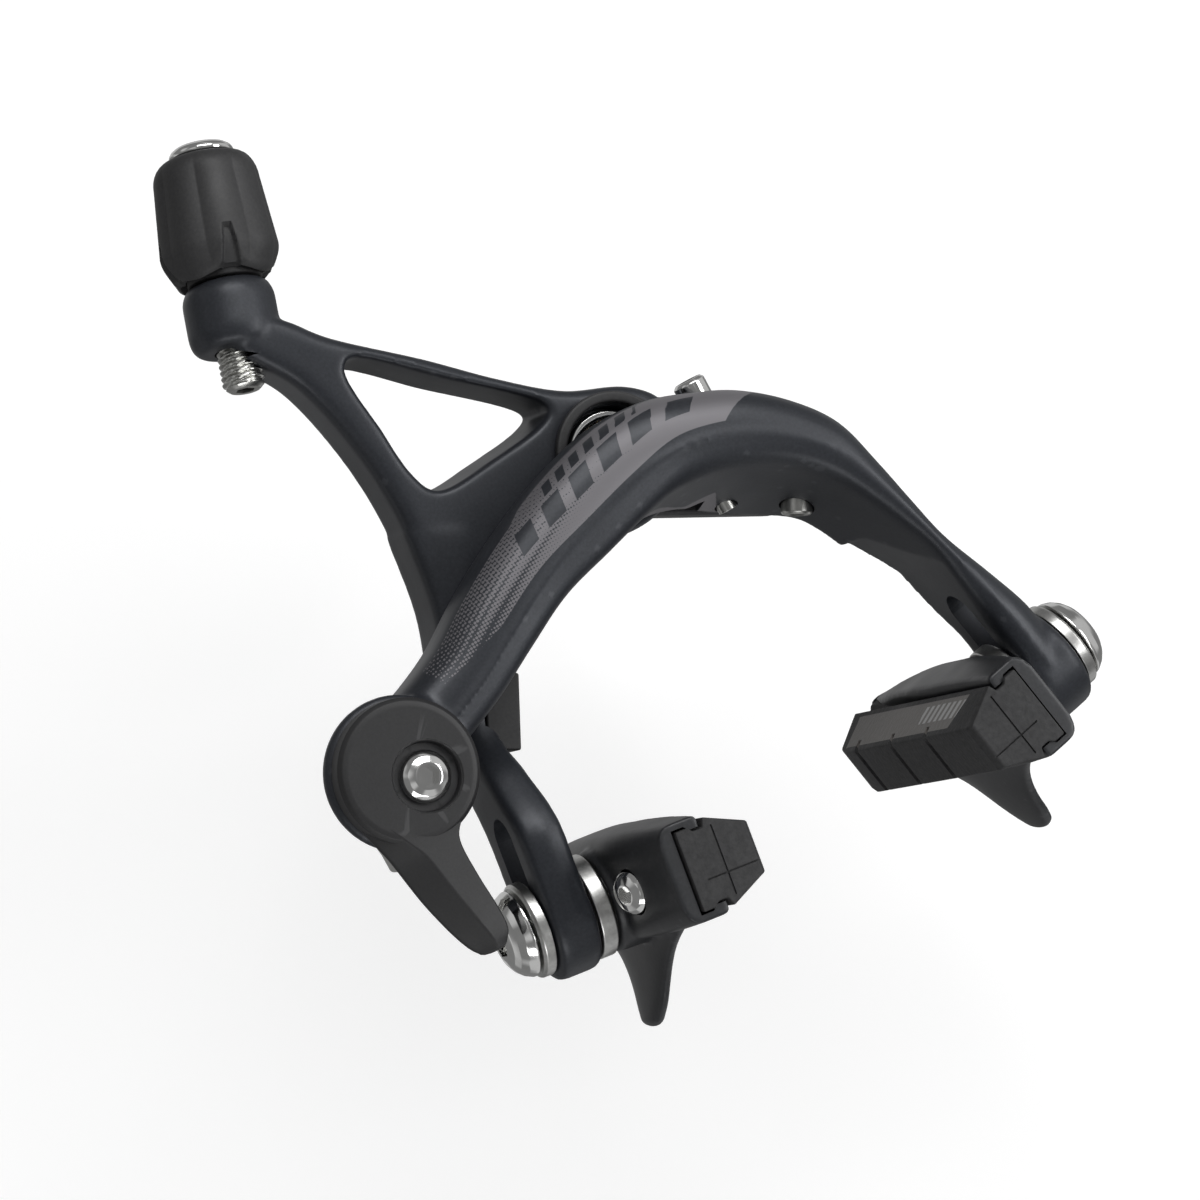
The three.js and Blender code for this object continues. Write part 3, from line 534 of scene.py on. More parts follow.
FRONT, MID, REAR = -30, -20.3, -12.3
FRONT_STATIONS = [
    ((-47.6, -13.4), (-44.4, -26.6), None, FRONT, -24.4),
    ((-42.3, -12.6), (-39.4, -22.4), None, FRONT, -21.6),
    ((-35.2, -9.9), (-31, -18.8), None, FRONT, MID),
    ((-28.8, -5.9), (-24.3, -15.4), None, FRONT, MID),
    ((-20.9, -1.7), (-17.2, -12), None, FRONT, MID),
    ((-11.9, 2), (-9.7, -10), None, FRONT, MID),
    ((-2.9, 4.2), (-2.6, -8), (-2.6, -9), FRONT, MID),
    ((4.6, 4), (3.6, -6.6), (2.5, -10.4), FRONT, MID),
    ((10.6, 2.1), (9, -7.4), (8.2, -13.2), FRONT, -15),
    ((16, -0.4), (13.6, -9.3), (13.8, -16.2), FRONT, REAR),
    ((21.3, -4.6), (17.6, -12), (18.6, -19.2), FRONT, REAR),
    ((25.4, -9.8), (20.9, -15.6), (20.8, -22), FRONT, REAR),
    ((27.3, -16.4), (23.4, -20), (22.8, -26), FRONT, REAR),
    ((28.7, -22.8), (25.7, -25), (24.6, -30), FRONT, REAR),
    ((30.2, -28.8), (27.4, -29.4), (26.4, -33.6), FRONT, REAR),
    ((33.4, -35.4), (28.5, -35.2), (28, -37.2), -29.7, -13.4),
    ((36.1, -41.4), (29.78, -41.5), None, -29.4, -14.6),
    ((37.05, -46), (30.8, -47), None, -29.4, -14.6),
    (leg_rim(ENDS["right"], -1), leg_rim(ENDS["right"], 1), None, -29.4, -14.6),
]


def build_front_arm():
    end = ENDS["right"]
    arch = arm_loft("arch", FRONT_STATIONS, radii=(6.5, 1.2, 1.5, 2.6), crown=0.3)
    disc = turned("disc", [(0, 0), (9.1, 0), (9.7, 0.6), (9.5, 2), (8.4, 4.8), (7, 7.6), (6.6, 9.6), (0, 9.6)],
                  (ANCHOR.x, FRONT - 0.3, ANCHOR.z), BACK, soft=0.4)
    arm = melt(merge("front_arm_forging", arch, disc, leg_end(end)), ARM_VOXEL, 5)
    cut(arm, washer_seat(end))
    melt(arm, ARM_VOXEL, 7)
    # Room for the rear arm's hub as this arm swings about its side pivot.
    pivot = Vector((PIVOT[0], 0, PIVOT[1]))
    hub_rooms = []
    for angle in (0, 0.07, 0.14, 0.21):
        centre = pivot - Matrix.Rotation(-angle, 3, "Y") @ pivot
        hub_rooms.append(rod("hub_room", 10.9, (centre.x, MID + 0.01, centre.z), 20, BACK))
    finger_room = plate("finger_room", [(0, 0.4), (17.2, -1.6), (17.2, -9.2), (0, -9.2)], MID, 0)
    pivot_bore = rod("pivot_bore", 3.9, (PIVOT[0], MID - 1, PIVOT[1]), 20, BACK)
    anchor_bore = rod("anchor_bore", AXLE_RADIUS + 0.25, (ANCHOR.x, -40, ANCHOR.z), 30, BACK)
    up = (0, 0, 1)
    screw_hole = rod("screw_hole", 2.35, (13.6, -17.2, -2), 12, up)
    lower_hole = turned("lower_hole", [(0, 0), (3.4, 0), (3.4, 4.6), (1.5, 5.2), (1.5, 14), (0, 14)],
                        (10.3, -17, -20), up, soft=0)
    grub_axis = Vector((PIVOT[0] - 17.9, 0, PIVOT[1] + 18.4)).normalized()
    grub_hole = rod("grub_hole", 2.25, Vector((17.9, -17.2, -18.4)) - grub_axis * 3, 7, grub_axis)
    cut(arm, *hub_rooms, finger_room, pivot_bore, anchor_bore, leg_slot(end), screw_hole, lower_hole, grub_hole)
    mark_along(arm)
    place(arm, "front_arm_body", "forged_arm", "front_arm", material="forged_front")


def mark_along(obj):
    """Stores on each point, in mm, how far along the arm it is and how far round from the inner edge."""
    rows = np.array(arm_rows(FRONT_STATIONS))
    outer, inner = rows[:, 0:2], rows[:, 2:4]
    middle = (outer + inner) / 2
    length = np.concatenate([[0], np.cumsum(np.linalg.norm(np.diff(middle, axis=0), axis=1))])
    co = np.zeros(len(obj.data.vertices) * 3)
    obj.data.vertices.foreach_get("co", co)
    flat = co.reshape(-1, 3)[:, (0, 2)]
    best = np.full(len(flat), 1e9)
    along, across, width = np.zeros(len(flat)), np.zeros(len(flat)), np.zeros(len(flat))
    for k in range(len(rows) - 1):
        a, b = middle[k], middle[k + 1]
        t = np.clip(((flat - a) @ (b - a)) / ((b - a) @ (b - a)), 0, 1)
        at = a + t[:, None] * (b - a)
        gap = np.linalg.norm(flat - at, axis=1)
        o = outer[k] + t[:, None] * (outer[k + 1] - outer[k])
        i = inner[k] + t[:, None] * (inner[k + 1] - inner[k])
        wide = np.linalg.norm(o - i, axis=1)
        side = np.sum((flat - i) * (o - i), axis=1) / wide
        nearer = gap < best
        best[nearer] = gap[nearer]
        along[nearer] = (length[k] + t * (length[k + 1] - length[k]))[nearer]
        across[nearer] = side[nearer]
        width[nearer] = wide[nearer]
    wrap = across + co.reshape(-1, 3)[:, 1] - FRONT
    for name, values in (("along", along), ("wrap", wrap), ("over", wrap - width)):
        layer = obj.data.attributes.new(name, "FLOAT", "POINT")
        layer.data.foreach_set("value", values.astype(np.float32))


def window_tool():
    """The triangular window between the two branches, flared at both faces for its rounded edges."""
    loop = np.array(smooth_loop([(-24.3, 25.6), (-14.8, 17.9), (-5.8, 10.1), (-6.6, 7.9), (-14.4, 7.0),
                                 (-21.4, 6.8), (-23.5, 9.8), (-24.2, 16)]))
    edge = np.roll(loop, -1, 0) - np.roll(loop, 1, 0)
    away = np.stack([edge[:, 1], -edge[:, 0]], 1) / np.linalg.norm(edge, axis=1)[:, None]
    middle = loop.mean(0)
    away *= np.sign(np.sum(away * (loop - middle), axis=1))[:, None]
    rings = []
    for y, grow in ((-24, 1.3), (-18.5, 1.1), (-18.2, 0.75), (-17.8, 0.5), (-9, 0), (-8.6, 0.1), (-8, 0.6),
                    (-3, 1.0)):
        rings.append([Vector((x, y, z)) for x, z in loop + away * grow])
    return loft("window", rings)


def build_rear_arm():
    end = ENDS["left"]
    x, z = BOSS.x, BOSS.z
    outline = smooth_loop([
        (x - 1, z + 1), (x + 4.6, z - 3.2), (-24.6, 29.4), (-15.4, 21.6), (-8.4, 15.2), (-1.4, 9.7),
        (6, 6.4), (9.6, 2.4), (9.3, -3.4), (5.4, -8.4), (-1, -10), (-8, -8.6), (-15, -6.6), (-21, -8),
        (-26, -13.4), (-29.6, -11.6), (-28.6, -2), (-28.1, 8), (-29, 17), (-31.4, 26), (x - 2.4, z - 4),
    ])
    web = plate("web", outline, -18.5, -8)
    bevel(web, 1.7, 4)
    leg = arm_loft("leg", [
        ((-28.4, 4), (-19.5, 0), None, -18.5, -8),
        ((-29.9, -6), (-22.4, -9.4), None, -18.5, -8),
        ((-33, -14.5), (-27.4, -17), None, -18.6, -8.4),
        ((-35, -21.5), (-30.4, -23), None, -19.4, -9.4),
        ((-36.4, -28), (-31.2, -28.4), None, -24.6, -12),
        ((-37.42, -34), (-31.7, -34.8), None, -28.8, -14.3),
        ((-38.32, -40.05), (-32.69, -40.9), None, -29.4, -14.6),
        (leg_rim(end, -1), leg_rim(end, 1), None, -29.4, -14.6),
    ], radii=(1.7, 1.5, 1.5, 1.7), crown=0.2)
    finger = plate("finger", [(2, -2.2), (15.4, -2.4), (15.4, -7), (2, -7.2)], -18.1, -11.4)
    bevel(finger, 0.5)
    boss = turned("boss", [(0, 0), (4.6, 0), (5.5, 0.7), (5.8, 2), (5.8, 7.0), (5.0, 8.6), (0, 8.6)],
                  BOSS - ADJUSTER_AXIS * 4.4, ADJUSTER_AXIS, soft=0.5)
    arm = melt(merge("rear_arm_forging", web, leg, finger, boss, leg_end(end)), ARM_VOXEL, 5)
    cut(arm, washer_seat(end), window_tool())
    melt(arm, ARM_VOXEL, 7)
    cut(arm,
        rod("hub_bore", 5.4, (0, -20, 0), 22, BACK),
        turned("recess", [(0, 0), (6.9, 0), (6.0, 2.2), (5.8, 2.5), (5.7, 4.6), (0, 4.6)], (0, -20.5, 0), BACK,
               soft=0),
        turned("stud_bore", [(0, 0), (4.4, 0), (2.95, 1.2), (2.95, 24), (0, 24)],
               BOSS - ADJUSTER_AXIS * 6.0, ADJUSTER_AXIS, soft=0),
        leg_slot(end),
        box("slider_room", (5.0, 10.2, 10.2), (-28.7, -14, -21.2), leaning(28)))
    place(arm, "rear_arm_body", "forged_arm", "rear_arm")


build_front_arm()
build_rear_arm()


# ---------- front arm graphic ----------

def paint_graphic():
    """A grey band that follows the arch, with a halftone lower end and plain slanted marks cut out of it."""
    mat = MATS["forged_front"]
    nodes, links = mat.node_tree.nodes, mat.node_tree.links
    m = Maths(mat)

    def attribute(name):
        return add(nodes, "Attribute", attribute_name=name).outputs["Fac"]

    along, wrap, over = attribute("along"), attribute("wrap"), attribute("over")
    facing = add(nodes, "SeparateXYZ")
    links.new(add(nodes, "NewGeometry").outputs["Normal"], facing.inputs[0])
    front = m.above(m.op("MULTIPLY", facing.outputs[1], -1.0), 0.12, 0.05)
    taper = m.op("MULTIPLY", m.op("MAXIMUM", m.op("SUBTRACT", 21.0, along), 0.0), 0.22)
    lower = m.above(wrap, m.op("ADD", taper, 5.1), 0.06)
    room = m.op("ADD", m.op("MULTIPLY", m.op("MAXIMUM", m.op("SUBTRACT", along, 32.0), 0.0), 0.5), 3.0)
    upper = m.below(over, room, 0.06)
    started = m.above(along, 10.8, 0.1)
    ended = m.below(along, m.op("ADD", 57.5, m.op("MULTIPLY", wrap, 0.7)), 0.1)
    # Two rows of plain slanted bars in the upper part of the band.
    slant = m.op("SUBTRACT", along, m.op("MULTIPLY", wrap, 0.4))

    def row(period, duty, low, high, start, stop):
        phase = m.op("FRACT", m.op("DIVIDE", slant, period))
        return m.all_of(m.above(phase, duty, 0.03), m.above(wrap, low, 0.06), m.above(slant, start, 0.1),
                        m.below(wrap, high, 0.06), m.below(slant, stop, 0.1))

    bars = m.op("MAXIMUM", row(4.9, 0.36, 7.9, 11.6, 26.5, 55.0), row(2.4, 0.4, 12.4, 14.9, 31.5, 47.0))
    band = m.all_of(front, lower, upper, started, ended, m.op("SUBTRACT", 1.0, bars))
    # Halftone dots that thin out towards the lower end.
    dots = add(nodes, "TexVoronoi", {"Scale": 2400, "Randomness": 0.0})
    links.new(add(nodes, "TexCoord").outputs["Object"], dots.inputs["Vector"])
    density = m.op("ADD", m.op("MULTIPLY", m.op("SUBTRACT", along, 10.0), 0.012), 0.36)
    dotted = m.above(density, dots.outputs["Distance"], 0.05)
    overlay(mat, m.op("MULTIPLY", band, dotted), (0.15, 0.145, 0.155), 0.5)


paint_graphic()


# ---------- adjuster ----------

def along_adjuster(h):
    return BOSS + ADJUSTER_AXIS * h


def build_adjuster():
    def lobed(r, h, t):
        if r < 3.2:
            return r, h
        body = min(max((h - 0.3) / 1.5, 0), 1) * min(max((15.4 - h) / 2.5, 0), 1)
        rr = r * (1 - 0.05 * body * (1 - abs(math.cos(4 * t))))
        gap = abs((t * 4 / (2 * math.pi) + 0.5) % 1 - 0.5) * 2 * math.pi / 4 * r
        width = 1.35 - 0.14 * h
        if h < 5.2 and gap < width:
            depth = 0.75 * min(1, (width - gap) / 0.25) * min(1, (5.2 - h) / 0.25)
            rr -= max(depth, 0)
        return rr, h + (0.4 * math.cos(4 * t) if h < 0.6 and r > 5 else 0)

    profile = [(2.9, 1.4), (4.9, 1.4), (5.2, 0.3), (5.6, 0), (6.1, 0.35)]
    profile += [(6.1 + 1.4 * math.sin(min(1, k / 9) * math.pi / 2), 0.35 + 3.5 * k / 9) for k in range(1, 10)]
    profile += [(7.5 - 0.8 * k / 16, 3.85 + 8.75 * k / 16) for k in range(1, 17)]
    profile += [(6.7 - 2.3 * (1 - math.cos(k / 8 * math.pi / 2)), 12.6 + 3.2 * math.sin(k / 8 * math.pi / 2))
                for k in range(1, 9)]
    profile += [(2.9, 15.8)]
    barrel = turned("adjuster_barrel_lobed", profile, along_adjuster(4.8), ADJUSTER_AXIS, segments=288, soft=0,
                    closed=True, wobble=lobed)
    place(barrel, "adjuster_barrel_body", "black_plastic", "adjuster_barrel", crease=50)
    seal = ring("adjuster_seal", 2.9, 4.7, along_adjuster(4.45), 1.5, ADJUSTER_AXIS, soft=0.3)
    place(seal, "adjuster_barrel_body", "rubber", "adjuster_seal_ring")

    pitch, core, crest = 0.8, 2.3, 2.7
    rows = [(0, 0), (1.9, 0), (2.3, 0.35)]
    rows += [(2.3, 0.35 + k * pitch / 8) for k in range(1, 62)]
    rows += [(core, 6.6), (core, 30), (1.1, 30), (1.1, 2.4), (0, 2.4)]

    def thread(r, h, t):
        if r < 2.2 or h < 0.3 or h > 6.5:
            return r, h
        phase = (h / pitch - t / (2 * math.pi)) % 1
        ridge = max(0.0, 1 - abs(phase - 0.5) * 3.2)
        fade = min(1, (h - 0.2) / 0.6) * min(1, (6.6 - h) / 0.5)
        return core + (crest - core) * min(1, ridge * 1.5) * fade, h

    stud = turned("adjuster_stud_threaded", rows, along_adjuster(-9.4), ADJUSTER_AXIS, soft=0, wobble=thread)
    cut(stud, hexagon(1.25, along_adjuster(-11), 4, ADJUSTER_AXIS))
    place(stud, "adjuster_stud_body", "steel", "adjuster_stud")
    cap = turned("adjuster_dome_cap", [(2.65, 0), (4, 0), (4.1, 0.5), (3.8, 1.0), (3.2, 1.4), (2.65, 1.5)],
                 along_adjuster(20.85), ADJUSTER_AXIS, soft=0.2, closed=True)
    place(cap, "adjuster_stud_body", "chrome", "adjuster_end_cap")


build_adjuster()


# ---------- quick release ----------

def rounded_tip(rings, steps):
    """Adds smaller copies of the last ring below it, as (scale, drop), for a rounded tip."""
    last = rings[-1]
    centre = sum(last, Vector()) / len(last)
    return rings + [[centre + (p - centre) * shrink + Vector((0, 0, -fall)) for p in last]
                    for shrink, fall in steps]


def build_quick_release():
    """The lever and its screw, the axle with its eccentric pin and clip, and the cable anchor on the pin."""
    a = ANCHOR
    disc = turned("quick_release_moulding",
                  [(0, 0), (7.9, 0), (8.5, 0.12), (9, 0.7), (9, 3.3), (0, 3.3)],
                  (a.x, -33.9, a.z), BACK, segments=144, soft=0.15)
    # Left edge, ridge and right edge of the lever down its length, from the hub's centre.
    rows = [
        (1.0, -8.7, -7.9, 7.0, -33.7), (-3.4, -8.3, -6.6, 6.6, -33.85), (-5.6, -7.8, -5.5, 5.9, -33.95),
        (-8.2, -7.1, -4.2, 3.0, -34), (-10.4, -6.7, -3.3, 1.5, -34), (-15, -5.9, -2.5, 1.4, -34),
        (-19.5, -4.7, -1.6, 1.7, -33.9), (-22.4, -3.6, -1.0, 1.6, -33.8), (-23.9, -2.6, -0.9, 0.7, -33.5),
    ]
    rings = []
    for dz, left, ridge, right, crest in smooth_track(rows, 5):
        z = a.z + dz
        corners = [
            Vector((a.x + right, -30.9, z)), Vector((a.x + left, -30.9, z)), Vector((a.x + left, -31.5, z)),
            Vector((a.x + ridge, crest, z)), Vector((a.x + right, crest + 0.5, z)),
        ]
        rings.append(rounded_quad(corners, (0.3, 0.3, 0.4, 0.3, 0.4), turn=4))
    fuse(disc, loft("lever", rounded_tip(rings, ((0.8, 0.25), (0.45, 0.42)))))
    centre = a + CAM_OFFSET
    recess = turned("recess", [(0, 0), (5.4, 0), (4.5, 1.1), (4.35, 1.3), (4.2, 2.4), (0, 2.4)],
                    (centre.x, -34.9, centre.z), BACK, soft=0.1)
    hole = rod("hole", 2.1, (centre.x, -34, centre.z), 9, BACK)
    cut(disc, recess, hole)
    place(disc, "quick_release_body", "black_lever", "quick_release_lever", crease=12)
    screw = socket_screw("lever_screw_domed",
                         [(0, 0), (1.7, 0.05), (2.5, 0.4), (3.05, 0.9), (3.3, 1.45), (3.3, 1.6), (1.8, 1.6),
                          (1.8, 7), (0, 7)],
                         (centre.x, -34.4, centre.z), BACK, 1.45, 1.4)
    place(screw, "quick_release_body", "chrome", "lever_screw")
    axle = rod("hub_axle_turned", AXLE_RADIUS, (a.x, -30.4, a.z), 10.7, BACK, soft=0.3)
    px, pz = a.x - CAM_OFFSET.x, a.z - CAM_OFFSET.z
    pin = rod("pin", 2, (px, -20, pz), 5.4, BACK, soft=0.2)
    fuse(axle, pin)
    cut(axle, rod("thread", 2.05, (centre.x, -31, centre.z), 4.4, BACK))
    place(axle, "quick_release_body", "steel", "hub_axle")
    clip = ring("axle_clip_turned", 2.15, 2.9, (px, -15.95, pz), 0.8, BACK)
    cut(clip, box("gap", (1.6, 3, 3), (px, -15.5, pz + 2.8)))
    place(clip, "quick_release_body", "steel", "axle_clip")

    cx, cz = px + 2.9, pz - 9.3
    outline = [(px - 3, pz + 2.8), (px + 3, pz + 2.8), (px + 4.4, pz - 4), (cx + 4, cz - 1),
               (cx + 3.4, cz - 4.6), (cx - 2.6, cz - 4.6), (cx - 4.8, cz - 3.4), (cx - 4.8, cz + 1),
               (px - 3.8, pz - 2.6)]
    block = plate("cable_anchor_fine", outline, -19.4, -16.2)
    bevel(block, 0.35, 3, 25)
    cut(block, rod("pin_hole", 2.25, (px, -22, pz), 10, BACK), rod("bolt_hole", 2.7, (cx, -22, cz), 10, BACK))
    place(block, "cable_anchor_body", "steel", "cable_anchor_block")
    washer = ring("cable_clamp_plate_fine", 2.75, 4.4, (cx, -15.95, cz), 1.5, BACK)
    cut(washer, box("groove", (0.9, 0.8, 12), (cx - 3.4, -15.9, cz)))
    place(washer, "cable_anchor_body", "steel", "cable_clamp_plate")
    bolt = socket_screw("cable_clamp_bolt_fine",
                        [(0, 0), (3, 0), (3.4, 0.5), (3.4, 2.4), (2.4, 2.5), (2.4, 6.9), (0, 6.9)],
                        (cx, -11.8, cz), (0, -1, 0), 1.8, 1.6)
    place(bolt, "cable_anchor_body", "steel", "cable_clamp_bolt")


build_quick_release()


# ---------- pads ----------

PAD_FRONT, PAD_BACK, WALL, FACE, LIFT = -23.5, 26.5, 10.5, 19.9, 0.9


def pad_section(y, grow, tip):
    """The pad's section at y: held part with a neck for the holder's lips, then the wedge."""
    pts = [(WALL - grow, 5.1), (WALL + 1.7 - grow, 5.1), (WALL + 2.2 - grow, 4.5), (WALL + 3.5, 4.5),
           (WALL + 3.9, 5.7), (tip, 3.3)]
    upper = [(u, w + grow) for u, w in pts]
    loop = upper + [(u, -w) for u, w in reversed(upper)]
    return [Vector((u, y, w + LIFT)) for u, w in loop]


def build_pad(side):
    end = ENDS[side]
    half = end["half"]
    carrier, pad_body = side + "_pad_carrier", side + "_pad_body"
    origin = leg_point(end, 0)
    basis = Matrix(leg_axes(end)).transposed().to_4x4()
    across = (1, 0, 0)

    def put(obj, body, slot, node, **extra):
        local = np.zeros(len(obj.data.vertices) * 3)
        obj.data.vertices.foreach_get("co", local)
        layer = obj.data.attributes.new("local", "FLOAT_VECTOR", "POINT")
        layer.data.foreach_set("vector", local.astype(np.float32))
        if end["side"] < 0:
            # The right group's axes are left-handed, so its faces are turned round again once placed.
            obj.data.transform(Matrix.Translation(origin) @ basis)
            obj.data.flip_normals()
        else:
            extra["matrix"] = Matrix.Translation(origin * MM) @ basis
        place(obj, body, slot, side + "_" + node, **extra)

    head = -half - 5.2
    shank, tail = -half - 2.1 - head, 9.4 - head
    bolt = socket_screw(side + "_pad_bolt_domed",
                        [(0, 0.0), (2.6, 0.1), (3.6, 0.42), (4.4, 0.95), (5.1, 1.7), (5.55, 2.6), (5.6, 2.9),
                         (5, shank), (2.9, shank), (2.9, tail - 0.4), (2.4, tail), (0, tail)],
                        (head, 0, 0), across, 2.2, 2.4)
    put(bolt, carrier, "chrome", "pad_bolt")
    outer = turned(side + "_outer_washer_fine",
                   [(3.25, 0), (5.7, 0), (6.1, 0.35), (6.1, 1.6), (3.25, 1.6)], (-half - 1.85, 0, 0), across,
                   soft=0.12, closed=True)
    put(outer, carrier, "washer_steel", "outer_washer")
    inner = turned(side + "_inner_washer_fine",
                   [(3.25, 0), (6.6, 0), (6.6, 2.1), (3.25, 2.1)], (half + 0.25, 0, 0), across,
                   soft=0.25, closed=True)
    put(inner, carrier, "washer_steel", "inner_washer")
    ball = turned(side + "_ball_washer_fine",
                  [(3.2, 0), (5.4, 0), (5.2, 0.6), (4.8, 1.2), (4.2, 1.7), (3.2, 1.7)],
                  (half + 2.55, 0, 0), across, soft=0.1, closed=True)
    put(ball, carrier, "washer_steel", "ball_washer")

    start = half + 2.75
    boss = turned("boss", [(0, 0), (6.3, 0), (6.6, 0.5), (6.7, 3), (6.9, 6.4), (0, 6.4)], (start, 0, 0), across,
                  soft=0.3)
    skin_rows = [
        (PAD_FRONT + 0.6, WALL - 2.3, 6.3, 3.4), (PAD_FRONT + 8, WALL - 3.2, 6.7, 3.4),
        (-8, WALL - 3.9, 6.9, 3.4), (-2, WALL - 4.0, 6.9, 3.4), (6, WALL - 3.7, 6.9, 3.1), (15, WALL - 2.6, 6.4, 2.4),
        (PAD_BACK - 4, WALL - 1.7, 5.6, 1.5), (PAD_BACK + 0.2, WALL - 1.4, 5.2, 1.1),
    ]
    rings = []
    for y, back, high, lip in smooth_track(skin_rows, 4):
        corners = [Vector((u, y, w + LIFT)) for u, w in
                   ((WALL + lip, -high), (back, -high), (back, high), (WALL + lip, high))]
        rings.append(rounded_quad(corners, (0.7, 3.4, 3.4, 0.7), turn=6))
    skin = loft("skin", rings)
    # Fin: sections down its height as (w, front v, back v, middle u, half thickness).
    fin_rows = [
        (-3.6, -17, 23.5, 11.4, 1.9), (-5.8, -11.5, 19.2, 11.4, 1.4), (-8.0, -6.0, 16.0, 11.2, 1.2),
        (-10.4, -2.2, 14.2, 10.9, 1.15), (-12.8, 0.4, 13.2, 10.5, 1.1), (-15.0, 2.4, 12.4, 10.0, 1.05),
        (-16.6, 4.4, 11.6, 9.6, 0.95),
    ]
    rings = []
    for down, v0, v1, mid, thick in smooth_track(fin_rows, 3):
        one = []
        for k in range(40):
            t = 2 * math.pi * k / 40
            c, s = math.cos(t), math.sin(t)
            one.append(Vector((mid + thick * math.copysign(abs(s) ** 0.8, s),
                               (v0 + v1) / 2 + (v1 - v0) / 2 * math.copysign(abs(c) ** 0.9, c), down)))
        rings.append(one)
    fin = loft("fin", rounded_tip(rings, ((0.85, 0.35), (0.55, 0.75), (0.2, 0.95))))
    holder = melt(merge(side + "_pad_holder_moulding", boss, skin, fin), HOLDER_VOXEL, 8)
    channel = loft("channel", [pad_section(y, 0.3, FACE + 3) for y in (PAD_FRONT - 3, PAD_BACK - 0.9)])
    seat = turned("seat", [(0, 0), (5.7, 0), (5.3, 1.9), (4.4, 2.7), (0, 2.7)], (start - 0.4, 0, 0), across,
                  soft=0)
    bore = rod("bore", 3.15, (start - 1, 0, 0), 20, across)
    lean = Vector((0.9, 0.43589, 0))
    screw_base = Vector((5.9, -11.4, 0.4))
    room = turned("room", [(0, 0), (3.4, 0), (3.0, 3.0), (3.0, 5.8), (0, 5.8)], screw_base - lean * 3, lean,
                  soft=0)
    cut(holder, channel, seat, bore, room)
    put(holder, pad_body, "pad_holder_black", "pad_holder")
    screw = socket_screw(side + "_pad_screw_fine",
                         [(0, 0), (1.3, 0.05), (2.2, 0.45), (2.7, 1.0), (2.7, 3), (0, 3)],
                         screw_base - lean * 0.4, lean, 1.2, 1.4)
    put(screw, pad_body, "chrome", "pad_screw")

    pad = loft(side + "_brake_pad_grooved", [
        pad_section(y, 0, FACE - less) for y, less in
        ((PAD_FRONT, 0.6), (PAD_FRONT + 1, 0), (PAD_BACK - 5, 0), (PAD_BACK - 1.2, 1))
    ])
    bevel(pad, 0.25, 2, 30)
    grooves = [box("groove", (3, 1.2, 16), (FACE + 0.1, y, LIFT)) for y in (-7.4, 5.2, 17.8)]
    marks = [box("mark", (0.22, 0.5, 9), (WALL + 4.6, PAD_FRONT, LIFT)),
             box("mark", (7.5, 0.5, 0.22), (WALL + 5.6, PAD_FRONT, LIFT - 1.6))]
    cut(pad, *grooves, *marks)
    put(pad, pad_body, "pad_rubber", "brake_pad", crease=30)


def paint_pad_strip():
    """A grey-brown strip on the pad's upper bevel, with plain light bars on its front half."""
    mat = MATS["pad_rubber"]
    nodes, links = mat.node_tree.nodes, mat.node_tree.links
    m = Maths(mat)
    parts = add(nodes, "SeparateXYZ")
    links.new(add(nodes, "Attribute", attribute_name="local").outputs["Vector"], parts.inputs[0])
    u, v, w = parts.outputs
    # The strip stops short of both ends of the bevel, which stay rubber.
    strip = m.all_of(m.above(w, LIFT + 3.0, 0.02), m.above(u, WALL + 4.6, 0.04), m.below(u, FACE - 0.7, 0.04),
                     m.above(m.op("ADD", v, m.op("MULTIPLY", u, -0.7)), -28.5, 0.05), m.below(v, 22.5, 0.05))
    overlay(mat, strip, (0.105, 0.098, 0.092), 0.5)
    phase = m.op("FRACT", m.op("DIVIDE", m.op("ADD", v, m.op("MULTIPLY", u, -0.5)), 1.9))
    bars = m.all_of(strip, m.above(phase, 0.45, 0.05), m.above(u, WALL + 5.2, 0.05),
                    m.below(u, FACE - 2.0, 0.05), m.below(v, -3.0, 0.05))
    overlay(mat, bars, (0.32, 0.32, 0.32), 0.5)


paint_pad_strip()
for side in ("left", "right"):
    build_pad(side)


# ---------- centre stack, side pivot and spring ----------

